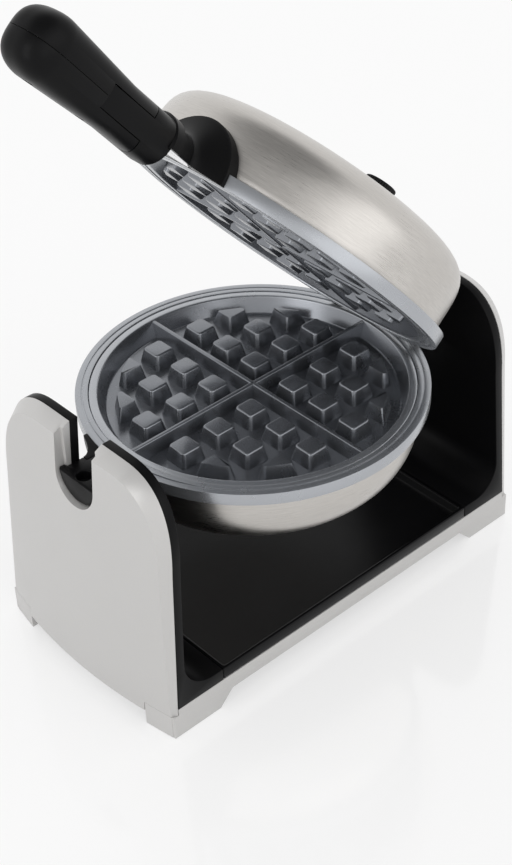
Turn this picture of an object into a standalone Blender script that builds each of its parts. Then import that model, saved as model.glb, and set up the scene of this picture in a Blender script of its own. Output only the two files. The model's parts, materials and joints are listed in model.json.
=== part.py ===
"""A rotary waffle maker with its lid raised.

The round iron turns in a two-ended stand, about an axle that runs along X.
X runs towards the hinge end, -Y is the front and Z is up. The origin lies on the
surface that the stand rests on, under the middle of the stand. Lengths are in metres.
"""

from collections import namedtuple
from math import cos, pi, radians, sin, tau

import bmesh
import bpy
from mathutils import Matrix, Vector

# Clearances
seat_gap = 0.0003
running_gap = 0.0004
knuckle_gap = 0.0005
overrun = 0.010

# Stand
stand_depth = 0.1728
stand_above_axis = 0.0314
axis_height = 0.1629
iron_x = -0.0052

# End covers and the black liners behind them, left end then right end
cover_edges = (0.0032, 0.0036)
cover_lean_shares = (0.045, 0.015)
seat_rooms = (0.0380, 0.0396)
seat_lean_shares = (0.072, 0.040)
cover_bow_at_foot = 0.0098
cover_bow_at_top = 0.0018
cover_edge_slope_share = 0.55
cover_foot_step = 0.0193
cover_skin = 0.0030
cover_pocket_margin = 0.0260
shoulder_inset = 0.0044
shoulder_drop = 0.0643
arch_top_half = 0.0370
shoulder_power_share = 2.6
liner_wall = 0.0065
liner_fillet = 0.0220
slot_radius = 0.0189
slot_waist_radius = 0.0162
slot_step_setback = 0.0006

# Skirts, feet and floor
skirt_wall = 0.0040
skirt_top = 0.0241
rail_bottom = 0.0118
foot_lift = 0.0005
foot_return = 0.0244
foot_length_at_floor = 0.0389
foot_length_at_rail = 0.0502
pan_room = 0.0343
pan_wall = 0.0035
bottom_plate_wall = 0.0016
base_screw_radius = 0.0035
base_screw_inset = 0.0360
pad_radius = 0.0080
pad_inset = 0.0095
tray_inset = 0.0028
tray_rim_height = 0.0332
tray_floor = 0.0022
tray_rim = 0.0030
tray_back_margin = 0.0050

# One half of the iron, measured from the parting plane
ring_radius = 0.1180
ring_land = 0.0085
ring_height = 0.0087
ring_flat_depth = 0.0055
dome_inset = 0.0065
dome_wall = 0.0015
lower_dome_rise = 0.0590
upper_dome_rise = 0.0503
lower_dome_shares = (3.5, 2.9)
upper_dome_shares = (5.0, 5.2)
plate_drop = 0.0006
plate_flange = 0.0026
plate_wall = 0.0024
plate_flange_width = 0.0056
cavity_depth = 0.0115
cavity_draft = 0.0052
lug_channel = 0.0083
lug_draft = 0.0025
lug_end_room = 0.0128
lug_height = 0.0108
lug_margin = 0.0060
lug_count = 3
ridge_base = 0.0060
ridge_tip = 0.0030
ridge_gap = 0.0060
element_radius = 0.0700
element_tube = 0.0033
thermostat_radius = 0.0085
thermostat_height = 0.0090

# Boot and journal at the handle side
boot_radius = 0.0330
boot_sink = 0.0180
boot_skirt = 0.0165
boot_flare = 0.0135
neck_radius = 0.0155
spigot_radius = 0.0115
spigot_length = 0.0090
journal_radius = 0.0183
neck_run = 0.0131
journal_length = 0.0054
journal_chamfer = 0.0015
peg_radius = 0.0045
peg_length = 0.0050
peg_setback = 0.0016
socket_radius = 0.0052
socket_depth = 0.0070
neck_plate_setback = 0.0100
neck_plate_length = 0.0270
neck_plate_half_width = 0.0140
neck_plate_wall = 0.0016

# Neck, knuckle and handle
neck_gap = 0.0040
neck_length = 0.0375
tongue_half = 0.0073
tongue_radius = 0.0280
ear_radius = 0.0229
grip_near_half_width = 0.0165
grip_near_half_height = 0.0160
grip_far_half_width = 0.0195
grip_far_half_height = 0.0200
grip_taper = 0.0640
grip_cap = 0.0200
grip_power_share = 2.8
fold_pin_radius = 0.0040
fold_pin_half = 0.0115
grip_screw_places = (0.0160, 0.0600)
grip_screw_radius = 0.0030
grip_screw_head = 0.0025
grip_screw_recess = 0.0060

# Lid hinge
lid_tilt = radians(50.2)
hinge_inset = 0.0080
hinge_rise = 0.0150
hinge_eye_radius = 0.0040
hinge_pin_radius = 0.0020
hinge_pin_head_radius = 0.0034
hinge_pin_head = 0.0012
lug_inner = 0.0295
lug_outer = 0.0355
ear_inner = 0.0360
ear_outer = 0.0410
ear_throat = 0.0015
bracket_wall = 0.0050
bracket_bottom = 0.0105
bracket_top = 0.0300

# Yoke, axle and its bush
yoke_wall = 0.0132
yoke_half_width = 0.0340
yoke_top = 0.0050
yoke_bottom = 0.0200
ear_leg_room = 0.0015
ear_leg_wall = 0.0082
yoke_wing_top = -0.0050
yoke_neck_radius = 0.0112
yoke_neck_length = 0.0184
axle_radius = 0.0085
axle_bore = 0.0045
axle_setback = 0.0134
axle_pocket_depth = 0.0062
bush_flange_radius = 0.0180
bush_flange = 0.0025
bush_barrel_radius = 0.0130
boss_radius = 0.0200
collar_radius = 0.0122
collar_width = 0.0028
collar_gap = 0.0009

# Browning dial
dial_reach = 0.0510
dial_radius = 0.0130
dial_grip_radius = 0.0116
dial_top = 0.0778
dial_skirt = 0.0030
dial_chamfer = 0.0010
dial_cap = 0.0015
trim_radius = 0.0150
trim_top = 0.0635
shaft_radius = 0.0030
bushing_radius = 0.0055
control_radius = 0.0140
control_height = 0.0140
control_floor = 0.0025

# Gland at the foot of the hinge end
gland_y = 0.0450
gland_z = 0.0380
gland_radius = 0.0080
gland_bore_radius = 0.0036
gland_stand_out = 0.0035
gland_tail = 0.0020

# Facets
fine_steps = 48
round_steps = 32
small_steps = 12
section_steps = 20
dome_steps = 8
arc_steps = 7
tube_steps = 6
sharp_angle = radians(35.0)

LEFT, RIGHT = SIDES = (0, 1)
SIGNS = (-1.0, 1.0)
half_depth = stand_depth / 2
stand_height = axis_height + stand_above_axis
shoulder_height = stand_height - shoulder_drop
seat_reaches = tuple(ring_radius + room for room in seat_rooms)
cover_reaches = tuple(seat + edge for seat, edge in zip(seat_reaches, cover_edges))
pan_reach = ring_radius + pan_room
tray_reach = ring_radius - tray_inset
shoulder_width = half_depth - shoulder_inset - arch_top_half
part_line = seat_gap / 2
ring_inner_radius = ring_radius - ring_land
ring_flat_reach = ring_radius - ring_flat_depth
dome_radius = ring_radius - dome_inset
plate_radius = ring_inner_radius - seat_gap
cavity_radius = plate_radius - plate_flange_width
cavity_floor = plate_drop + cavity_depth
cavity_floor_radius = cavity_radius - cavity_draft
plate_back = cavity_floor + plate_wall
ridge_side = ridge_base / 2 + ridge_gap
lug_pitch = (cavity_floor_radius - lug_end_room - ridge_side + lug_channel) / lug_count
lug_base = lug_pitch - lug_channel
lug_tip = lug_base - 2 * lug_draft
lug_first = ridge_side + lug_base / 2
yoke_inner = ring_flat_reach + seat_gap
ear_leg_inner = yoke_inner + ear_leg_room
ear_leg_outer = ear_leg_inner + ear_leg_wall
hinge_reach = ring_radius - hinge_inset
bracket_outer = hinge_reach + bracket_wall
yoke_outer = yoke_inner + yoke_wall
yoke_neck_end = yoke_outer + yoke_neck_length
axle_start = yoke_neck_end - axle_setback
boot_start = ring_radius - boot_sink
boot_shoulder = boot_start + boot_skirt
boot_end = boot_shoulder + boot_flare
journal_start = boot_end + neck_run
journal_end = journal_start + journal_length
peg_reach = journal_start - peg_setback
slot_step_reach = journal_start - slot_step_setback
neck_plate_start = boot_end - neck_plate_setback
neck_plate_end = neck_plate_start + neck_plate_length
neck_start = journal_end + neck_gap
fold_reach = neck_start + neck_length
grip_shoulder_reach = fold_reach + grip_taper
grip_reach = grip_shoulder_reach + grip_cap
grip_screw_reaches = tuple(fold_reach + place for place in grip_screw_places)
iron_centre = Vector((iron_x, 0.0, axis_height))
hinge_offset = Vector((hinge_reach, 0.0, hinge_rise))

# Finishes: colour, roughness, metallic
silver = ((0.74, 0.73, 0.71), 0.32, 0.75)
black = ((0.012, 0.012, 0.013), 0.38, 0.0)
steel = ((0.62, 0.60, 0.57), 0.28, 1.0)
ring_grey = ((0.50, 0.53, 0.58), 0.35, 0.8)
nonstick = ((0.055, 0.057, 0.062), 0.35, 0.3)
dark_metal = ((0.20, 0.19, 0.18), 0.45, 0.9)
rubber = ((0.02, 0.02, 0.02), 0.85, 0.0)

# A frame is the empty that carries a piece, and how far the piece's own origin lies from it
Frame = namedtuple("Frame", "carrier offset")
standing = Frame(None, Vector())
parts = bpy.data.collections.new("rotary waffle maker")
cutters = bpy.data.collections.new("cutters")


def clear_scene():
    for old in list(bpy.data.objects):
        bpy.data.objects.remove(old, do_unlink=True)
    for collection in (parts, cutters):
        bpy.context.scene.collection.children.link(collection)


def finish(name, colour, roughness, metallic):
    made = bpy.data.materials.new(name)
    made.use_nodes = True
    shader = made.node_tree.nodes["Principled BSDF"]
    shader.inputs["Base Color"].default_value = (*colour, 1.0)
    shader.inputs["Roughness"].default_value = roughness
    shader.inputs["Metallic"].default_value = metallic
    made.diffuse_color = (*colour, 1.0)
    return made


def carrier(name, location, turn=(0.0, 0.0, 0.0), parent=None):
    """An empty on a joint's axis."""
    made = bpy.data.objects.new(name, None)
    made.location = location
    made.rotation_euler = turn
    made.parent = parent
    parts.objects.link(made)
    return made


# Building blocks

def place(name, body, kind, frame):
    """Link a mesh as a part of the model, or as a cutter when it has no finish."""
    bmesh.ops.recalc_face_normals(body, faces=body.faces)
    data = bpy.data.meshes.new(name)
    body.to_mesh(data)
    body.free()
    data.shade_smooth()
    data.set_sharp_from_angle(angle=sharp_angle)
    made = bpy.data.objects.new(name, data)
    made.location = frame.offset
    made.parent = frame.carrier
    if kind is None:
        cutters.objects.link(made)
        made.hide_render = True
        made.display_type = "WIRE"
    else:
        parts.objects.link(made)
        data.materials.append(finish(name, *kind))
    return made


def place_evaluated(name, drawn, turn, kind, frame):
    """Make a plain mesh of a drawn curve or a modified mesh, and link it."""
    bpy.context.scene.collection.objects.link(drawn)
    bpy.context.view_layer.update()
    evaluated = drawn.evaluated_get(bpy.context.evaluated_depsgraph_get())
    data = bpy.data.meshes.new_from_object(evaluated)
    body = bmesh.new()
    body.from_mesh(data)
    bpy.data.meshes.remove(data)
    bpy.data.objects.remove(drawn, do_unlink=True)
    bmesh.ops.remove_doubles(body, verts=body.verts, dist=seat_gap / 10)
    bmesh.ops.transform(body, matrix=turn, verts=body.verts)
    return place(name, body, kind, frame)


def box(name, low, high, kind=None, frame=standing):
    """A box between two corners."""
    low, high = Vector(low), Vector(high)
    body = bmesh.new()
    bmesh.ops.create_cube(body, size=1.0)
    bmesh.ops.scale(body, vec=high - low, verts=body.verts)
    bmesh.ops.translate(body, vec=(low + high) / 2, verts=body.verts)
    return place(name, body, kind, frame)


def rod(name, start, end, radius, steps=small_steps, kind=None, frame=standing):
    """A round bar between two points."""
    start, end = Vector(start), Vector(end)
    body = bmesh.new()
    bmesh.ops.create_cone(body, cap_ends=True, segments=steps, radius1=radius, radius2=radius,
                          depth=(end - start).length)
    turn = (end - start).to_track_quat("Z", "Y").to_matrix().to_4x4()
    bmesh.ops.transform(body, matrix=Matrix.Translation((start + end) / 2) @ turn, verts=body.verts)
    return place(name, body, kind, frame)


def loft(name, loops, kind=None, frame=standing):
    """A closed solid through loops that have the same number of points."""
    body = bmesh.new()
    rings = [[body.verts.new(point) for point in loop] for loop in loops]
    for ring, following in zip(rings, rings[1:]):
        for k in range(len(ring)):
            after = (k + 1) % len(ring)
            body.faces.new((ring[k], ring[after], following[after], following[k]))
    body.faces.new(rings[0][::-1])
    body.faces.new(rings[-1])
    bmesh.ops.triangulate(body, faces=body.faces)
    return place(name, body, kind, frame)


def turned(name, profile, steps=round_steps, closed=False, turn=Matrix(), kind=None, frame=standing):
    """A solid turned about Z from points of radius and height, then laid along another axis."""
    data = bpy.data.meshes.new(name)
    edges = [(k, k + 1) for k in range(len(profile) - 1)]
    if closed:
        edges.append((len(profile) - 1, 0))
    data.from_pydata([(radius, 0.0, height) for radius, height in profile], edges, [])
    drawn = bpy.data.objects.new(name + "_profile", data)
    screw = drawn.modifiers.new("turn", "SCREW")
    screw.steps = steps
    screw.render_steps = steps
    screw.use_merge_vertices = True
    screw.merge_threshold = seat_gap / 10
    return place_evaluated(name, drawn, turn, kind, frame)


def outline(name, points, thickness, turn, kind=None, frame=standing):
    """A flat outline, thickened evenly to both sides of its plane."""
    curve = bpy.data.curves.new(name, "CURVE")
    curve.dimensions = "2D"
    curve.fill_mode = "BOTH"
    curve.extrude = thickness / 2
    spline = curve.splines.new("POLY")
    spline.points.add(len(points) - 1)
    for target, (across, up) in zip(spline.points, points):
        target.co = (across, up, 0.0, 1.0)
    spline.use_cyclic_u = True
    drawn = bpy.data.objects.new(name + "_outline", curve)
    return place_evaluated(name, drawn, turn, kind, frame)


def boolean(target, tool, operation):
    modifier = target.modifiers.new(operation.lower(), "BOOLEAN")
    modifier.operation = operation
    modifier.object = tool
    modifier.solver = "EXACT"


def cut(target, *tools):
    for tool in tools:
        boolean(target, tool, "DIFFERENCE")


def join(target, *tools):
    for tool in tools:
        boolean(target, tool, "UNION")


def plane(across, up, centre=(0.0, 0.0, 0.0)):
    """The matrix that lays an outline's two directions along two axes of the model."""
    across, up = Vector(across), Vector(up)
    turn = Matrix((across, up, across.cross(up))).transposed().to_4x4()
    return Matrix.Translation(centre) @ turn


def along(direction, centre=(0.0, 0.0, 0.0)):
    """The matrix that lays a turned solid's Z along a direction."""
    turn = Vector(direction).to_track_quat("Z", "Y").to_matrix().to_4x4()
    return Matrix.Translation(centre) @ turn


def arc(centre, radius, start, end, steps=arc_steps):
    return [(centre[0] + radius * cos(start + (end - start) * k / steps),
             centre[1] + radius * sin(start + (end - start) * k / steps)) for k in range(steps + 1)]


# Stand

def seat_x(side, z):
    """Where a cover meets its liner, at height z."""
    return SIGNS[side] * (seat_reaches[side] - seat_lean_shares[side] * z)


def cover_x(side, y, z):
    """The bowed outer face of an end cover."""
    bow = cover_bow_at_foot + (cover_bow_at_top - cover_bow_at_foot) * z / stand_height
    reach = cover_reaches[side] - cover_lean_shares[side] * z
    return SIGNS[side] * (reach + bow * (1.0 - (y / half_depth) ** 2))


def end_outline(inset, bottom):
    """The arched outline of an end, as y and z, drawn in all round by an inset."""
    shoulder = half_depth - inset - shoulder_inset
    rise = stand_height - inset - shoulder_height
    points = [(half_depth - inset, bottom)]
    for k in range(arc_steps + 1):
        angle = k / arc_steps * pi / 2
        across = max(cos(angle), 0.0) ** (2 / shoulder_power_share)
        up = sin(angle) ** (2 / shoulder_power_share)
        points.append((shoulder - shoulder_width * (1.0 - across), shoulder_height + rise * up))
    return points + [(-y, z) for y, z in reversed(points)]


def bowed_block(name, side, bottom, top, half_width, skin, back_off):
    """A block from near the seat plane out to a skin's depth under the bowed face."""
    sign = SIGNS[side]
    loops = []
    for z in (bottom, top):
        ys = [half_width * (k / arc_steps - 1.0) for k in range(2 * arc_steps + 1)]
        face = [(cover_x(side, y, z) - sign * skin, y, z) for y in ys]
        back = seat_x(side, z) - sign * back_off
        loops.append(face + [(back, half_width, z), (back, -half_width, z)])
    return loft(name, loops)


def end_cover(name, side):
    """A silver end cover: arched, bowed outwards and hollow behind."""
    sign = SIGNS[side]
    loops = []
    for out in (-overrun, 2 * overrun):
        ring = end_outline(out * cover_edge_slope_share, rail_bottom + foot_lift)
        loops.append([(seat_x(side, z) + sign * out, y, z) for y, z in ring])
    cover = loft(name, loops, silver)
    wide = half_depth + overrun
    boolean(cover, bowed_block(name + "_face", side, -overrun, stand_height + overrun, wide, 0.0, 0.0),
            "INTERSECT")
    for facing in SIGNS:
        near = facing * (half_depth - foot_return - seat_gap)
        far = facing * wide
        reach = sign * (cover_reaches[side] + 2 * overrun)
        low = (min(0.0, reach), min(near, far), -overrun)
        high = (max(0.0, reach), max(near, far), cover_foot_step)
        cut(cover, box(name + "_foot_room", low, high))
    pocket_top = axis_height - slot_radius - cover_pocket_margin / 2
    cut(cover, bowed_block(name + "_pocket", side, skirt_top, pocket_top,
                           half_depth - cover_pocket_margin, cover_skin, overrun))
    return cover


def end_liner(name, side):
    """A black inner wall that sweeps round into the floor of the stand."""
    sign = SIGNS[side]
    low, high = skirt_top + seat_gap, stand_height + overrun
    bend = tray_rim_height + liner_fillet
    wall_at_bend = seat_x(side, bend) - sign * liner_wall
    turn_from = pi if side == LEFT else 0.0
    turn_to = turn_from - sign * pi / 2
    sweep = arc((wall_at_bend - sign * liner_fillet, bend), liner_fillet, turn_from, turn_to)
    stub = sign * (tray_reach + seat_gap)
    profile = [(seat_x(side, low) - sign * seat_gap, low), (seat_x(side, high) - sign * seat_gap, high),
               (seat_x(side, high) - sign * liner_wall, high)]
    profile += sweep + [(stub, tray_rim_height), (stub, low)]
    wall = outline(name, profile, stand_depth + 2 * overrun, plane((1, 0, 0), (0, 0, 1)), black)
    arch = outline(name + "_arch", end_outline(0.0, low), 4 * cover_reaches[side],
                   plane((0, 1, 0), (0, 0, 1)))
    boolean(wall, arch, "INTERSECT")
    return wall


def bush_end():
    """Where the bush's barrel stops, just short of the cover's seat plane."""
    return seat_x(RIGHT, axis_height + bush_barrel_radius) - seat_gap


def journal_slot():
    """The slot that the journal drops into: wide outside, with a waist inside that holds it endways."""
    top, depth = stand_height + overrun, 4 * overrun
    step = iron_x - slot_step_reach
    tools = []
    for radius, middle in ((slot_waist_radius, step), (slot_radius, step - depth / 2)):
        rim = [(radius, top), (-radius, top)]
        bed = arc((0.0, axis_height), radius, pi, tau, 2 * arc_steps + 1)
        tools.append(outline("journal_slot", rim + bed, depth, plane((0, 1, 0), (0, 0, 1), (middle, 0.0, 0.0))))
    return tools


def skirt(name, facing):
    """One long side of the silver frame, with its two feet returned round the corners."""
    top_of_foot = cover_foot_step - seat_gap
    points = []
    for side in SIDES:
        sign = SIGNS[side]
        reach = abs(cover_x(side, half_depth, cover_foot_step))
        seat = abs(seat_x(side, skirt_top)) - seat_gap
        half = [(sign * seat, skirt_top), (sign * seat, top_of_foot), (sign * reach, top_of_foot),
                (sign * reach, foot_lift), (sign * (reach - foot_length_at_floor), foot_lift),
                (sign * (reach - foot_length_at_rail), rail_bottom)]
        points += half if side == LEFT else half[::-1]
    centre = (0.0, facing * (half_depth - skirt_wall / 2), 0.0)
    wall = outline(name, points, skirt_wall, plane((1, 0, 0), (0, 0, 1), centre), silver)
    for side in SIDES:
        start, run = half_depth - skirt_wall / 2, foot_return - skirt_wall / 2
        ys = [facing * (start - run * k / arc_steps) for k in range(arc_steps + 1)]
        outer = [(cover_x(side, y, cover_foot_step), y) for y in ys]
        inner = [(x - SIGNS[side] * skirt_wall, y) for x, y in reversed(outer)]
        loops = [[(x, y, z) for x, y in outer + inner] for z in (foot_lift, top_of_foot)]
        join(wall, loft(name + "_return", loops))
    return wall


def base_floor():
    """The pan between the skirts, its bottom plate with four screws, and the rubber feet."""
    side = half_depth - skirt_wall - seat_gap
    low = rail_bottom + foot_lift
    pan = box("base_pan", (-pan_reach, -side, low), (pan_reach, side, skirt_top), black)
    inner_reach, inner_side = pan_reach - pan_wall, side - pan_wall
    cut(pan, box("pan_room", (-inner_reach, -inner_side, low - overrun),
                 (inner_reach, inner_side, skirt_top - pan_wall)))
    plate_reach, plate_side = inner_reach - seat_gap, inner_side - seat_gap
    top = low + bottom_plate_wall
    plate = box("bottom_plate", (-plate_reach, -plate_side, low), (plate_reach, plate_side, top), dark_metal)
    number = 0
    for sx in SIGNS:
        for sy in SIGNS:
            number += 1
            x, y = sx * (plate_reach - base_screw_inset), sy * (plate_side - base_screw_inset)
            hole = rod("screw_hole", (x, y, low - overrun), (x, y, top + overrun),
                       base_screw_radius + seat_gap)
            cut(plate, hole)
            rod(f"base_screw_{number}", (x, y, low), (x, y, top), base_screw_radius, kind=dark_metal)
            x, y = sx * (plate_reach - pad_radius - pad_inset), sy * (plate_side - pad_radius)
            rod(f"foot_pad_{number}", (x, y, 0.0), (x, y, low - seat_gap), pad_radius, kind=rubber)


def drip_tray():
    """A shallow tray that slides out at the front, between the two liners."""
    low = skirt_top + seat_gap
    back = half_depth - tray_back_margin
    tray = box("drip_tray", (-tray_reach, -half_depth, low), (tray_reach, back, tray_rim_height), black)
    cut(tray, box("tray_room", (tray_rim - tray_reach, tray_rim - half_depth, low + tray_floor),
                  (tray_reach - tray_rim, back - tray_rim, tray_rim_height + overrun)))


def axle_seat(cover, wall):
    """The boss, bore and pocket that carry the axle in the hinge end, and its bush."""
    flange_face = iron_x + yoke_neck_end + running_gap
    boss_face = flange_face + bush_flange + seat_gap
    seat = seat_x(RIGHT, axis_height)
    join(wall, rod("axle_boss", (boss_face, 0.0, axis_height), (seat - liner_wall / 2, 0.0, axis_height),
                   boss_radius, round_steps))
    cut(wall, rod("bush_bore", (boss_face - overrun, 0.0, axis_height), (seat + overrun, 0.0, axis_height),
                  bush_barrel_radius + seat_gap, round_steps))
    cut(cover, rod("axle_room", (seat - overrun, 0.0, axis_height),
                   (seat + axle_pocket_depth, 0.0, axis_height), bush_flange_radius, round_steps))
    bore = axle_radius + running_gap
    end = bush_end()
    profile = [(bore, end), (bush_barrel_radius, end), (bush_barrel_radius, flange_face + bush_flange),
               (bush_flange_radius, flange_face + bush_flange), (bush_flange_radius, flange_face),
               (bore, flange_face)]
    turned("axle_bush", profile, closed=True, turn=along((1, 0, 0), (0.0, 0.0, axis_height)),
           kind=dark_metal)


def cord_gland(cover):
    """The sleeve in the hinge end that the supply lead leaves through."""
    face = cover_x(RIGHT, gland_y, gland_z)
    inner = face - cover_skin - gland_tail
    cut(cover, rod("gland_hole", (inner - gland_tail, gland_y, gland_z), (face + overrun, gland_y, gland_z),
                   gland_radius + seat_gap))
    outer = face + gland_stand_out
    profile = [(gland_bore_radius, outer), (gland_radius, outer), (gland_radius, inner),
               (gland_bore_radius, inner)]
    turned("cord_gland", profile, small_steps, True, along((1, 0, 0), (0.0, gland_y, gland_z)), rubber)


def stand():
    left_cover = end_cover("left_cover", LEFT)
    left_liner = end_liner("left_liner", LEFT)
    slot = journal_slot()
    cut(left_cover, *slot)
    cut(left_liner, *slot)
    right_cover = end_cover("right_cover", RIGHT)
    right_liner = end_liner("right_liner", RIGHT)
    axle_seat(right_cover, right_liner)
    cord_gland(right_cover)
    skirt("front_skirt", -1.0)
    skirt("back_skirt", 1.0)
    base_floor()
    drip_tray()


# One half of the iron, with Z running away from the parting plane

def dome_z(radius, reach, rise, shares):
    """The height of a dome above its rim at a radius."""
    return rise * max(0.0, 1.0 - (radius / reach) ** shares[0]) ** (1 / shares[1])


def dome_profile(reach, rise, shares):
    """A dome's curve from the crown out to the rim, as radius and height."""
    base = ring_height + seat_gap
    radii = [reach * sin(k / dome_steps * pi / 2) for k in range(dome_steps + 1)]
    return [(radius, base + dome_z(radius, reach, rise, shares)) for radius in radii]


def half_iron(prefix, rise, shares, frame):
    """A ring, a waffle plate, a heating element and a dome. Gives the dome and the room they need."""
    flange_seat = plate_drop + plate_flange + seat_gap
    ledge_radius = cavity_radius + plate_wall + seat_gap
    profile = [(ring_radius, part_line), (ring_radius, ring_height), (ledge_radius, ring_height),
               (ledge_radius, flange_seat), (ring_inner_radius, flange_seat), (ring_inner_radius, part_line)]
    ring = turned(prefix + "_ring", profile, fine_steps, True, kind=ring_grey, frame=frame)
    cut(ring, box(prefix + "_flat", (ring_flat_reach, -ring_radius, -overrun),
                  (ring_radius + overrun, ring_radius, ring_height + overrun), frame=frame))

    waffle_plate(prefix, frame)

    centre = (element_radius, plate_back + seat_gap + element_tube)
    coil = arc(centre, element_tube, 0.0, tau, tube_steps)[:-1]
    turned(prefix + "_element", coil, round_steps, True, kind=dark_metal, frame=frame)

    outer = dome_profile(dome_radius, rise, shares)
    inner = dome_profile(dome_radius - dome_wall, rise - dome_wall, shares)
    dome = turned(prefix + "_dome", outer + inner[::-1], fine_steps, kind=steel, frame=frame)

    clear_radius = ring_radius + seat_gap
    room = dome_profile(dome_radius + seat_gap, rise + seat_gap, shares)
    room += [(clear_radius, ring_height + seat_gap), (clear_radius, -overrun), (0.0, -overrun)]
    return dome, turned(prefix + "_room", room, fine_steps, frame=frame)


def add_frustum(body, centre, base_half, tip_half, base_z, tip_z):
    """Add a four-sided frustum to a mesh that is being built."""
    for vertex in bmesh.ops.create_cube(body, size=2.0)["verts"]:
        half, z = (tip_half, tip_z) if vertex.co.z > 0 else (base_half, base_z)
        vertex.co = (centre[0] + vertex.co.x * half[0], centre[1] + vertex.co.y * half[1], z)


def waffle_plate(prefix, frame):
    """A shallow cast pan with square lugs and a raised cross."""
    flange_back = plate_drop + plate_flange
    profile = [(0.0, plate_back), (cavity_floor_radius + plate_wall, plate_back),
               (cavity_radius + plate_wall, flange_back), (plate_radius, flange_back),
               (plate_radius, plate_drop), (cavity_radius, plate_drop),
               (cavity_floor_radius, cavity_floor), (0.0, cavity_floor)]
    plate = turned(prefix + "_plate", profile, fine_steps, kind=nonstick, frame=frame)
    root = cavity_floor + plate_wall / 2
    tip = cavity_floor - lug_height

    base_long, tip_long = cavity_floor_radius + plate_wall / 2, cavity_radius + plate_wall / 4
    for base_half, tip_half in (((base_long, ridge_base / 2), (tip_long, ridge_tip / 2)),
                                ((ridge_base / 2, base_long), (ridge_tip / 2, tip_long))):
        body = bmesh.new()
        add_frustum(body, (0.0, 0.0), base_half, tip_half, root, tip)
        join(plate, place(prefix + "_ridge", body, None, frame))

    body = bmesh.new()
    for i in range(lug_count):
        for j in range(lug_count):
            if i + j == 2 * (lug_count - 1):
                continue
            for sx in SIGNS:
                for sy in SIGNS:
                    centre = (sx * (lug_first + i * lug_pitch), sy * (lug_first + j * lug_pitch))
                    add_frustum(body, centre, (lug_base / 2,) * 2, (lug_tip / 2,) * 2, root, tip)
    lugs = place(prefix + "_lugs", body, None, frame)
    base_limit = cavity_floor_radius - lug_margin
    tip_limit = base_limit - (lug_base - lug_tip) / 2
    limit = turned(prefix + "_lug_limit", [(0.0, plate_back), (base_limit, plate_back),
                                           (tip_limit, tip - plate_drop), (0.0, tip - plate_drop)],
                   fine_steps, frame=frame)
    boolean(lugs, limit, "INTERSECT")
    join(plate, lugs)


def split_half(name, profile, room, frame):
    """One half of a piece turned about the handle's axis, from points of radius and reach."""
    made = turned(name, profile, turn=along((-1, 0, 0)), kind=black, frame=frame)
    side, far = 2 * boot_radius, 2 * journal_end
    cut(made, room, box(name + "_far_side", (-far, -side, -side), (0.0, side, part_line), frame=frame))
    return made


def boot(name, room, frame):
    """The flared boot over the joint between the iron and its neck."""
    swell = boot_radius - neck_radius
    flare = [(neck_radius + swell * (1.0 - k / arc_steps) ** 2,
              boot_shoulder + (boot_end - boot_shoulder) * k / arc_steps) for k in range(arc_steps + 1)]
    profile = [(0.0, boot_start), (boot_radius, boot_start)] + flare + [(0.0, boot_end)]
    made = split_half(name, profile, room, frame)
    bore_end = boot_end - spigot_length - seat_gap
    cut(made, rod(name + "_bore", (-boot_end - overrun, 0.0, 0.0), (-bore_end, 0.0, 0.0),
                  spigot_radius + seat_gap, round_steps, frame=frame))
    return made


def journal_profile(end):
    """The spigot in the boot, the waist that passes through the slot, and the journal at its end."""
    return [(0.0, boot_end - spigot_length), (spigot_radius, boot_end - spigot_length),
            (spigot_radius, boot_end + seat_gap), (neck_radius, boot_end + seat_gap),
            (neck_radius, journal_start), (journal_radius, journal_start),
            (journal_radius, end - journal_chamfer), (journal_radius - journal_chamfer, end), (0.0, end)]


def lower_journal(room, frame):
    """The half that stays in the slot, with a socket for the lid's peg."""
    boot("lower_boot", room, frame)
    made = split_half("lower_journal", journal_profile(journal_end - seat_gap), room, frame)
    cut(made, rod("peg_socket", (-peg_reach, 0.0, -overrun), (-peg_reach, 0.0, socket_depth),
                  socket_radius, frame=frame))


# Neck and handle, measured from the middle of the iron towards -X

def section(reach, half_width, half_height):
    """A rounded, nearly square loop across the handle."""
    power = 2 / grip_power_share
    loop = []
    for k in range(section_steps):
        across, up = cos(tau * k / section_steps), sin(tau * k / section_steps)
        loop.append((-reach, half_width * abs(across) ** power * (1 if across > 0 else -1),
                     half_height * abs(up) ** power * (1 if up > 0 else -1)))
    return loop


def grip_size(reach):
    """Half the width and half the height of the grip, at a distance from the iron."""
    share = min(max((reach - fold_reach) / (grip_shoulder_reach - fold_reach), 0.0), 1.0)
    return (grip_near_half_width + (grip_far_half_width - grip_near_half_width) * share,
            grip_near_half_height + (grip_far_half_height - grip_near_half_height) * share)


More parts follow.
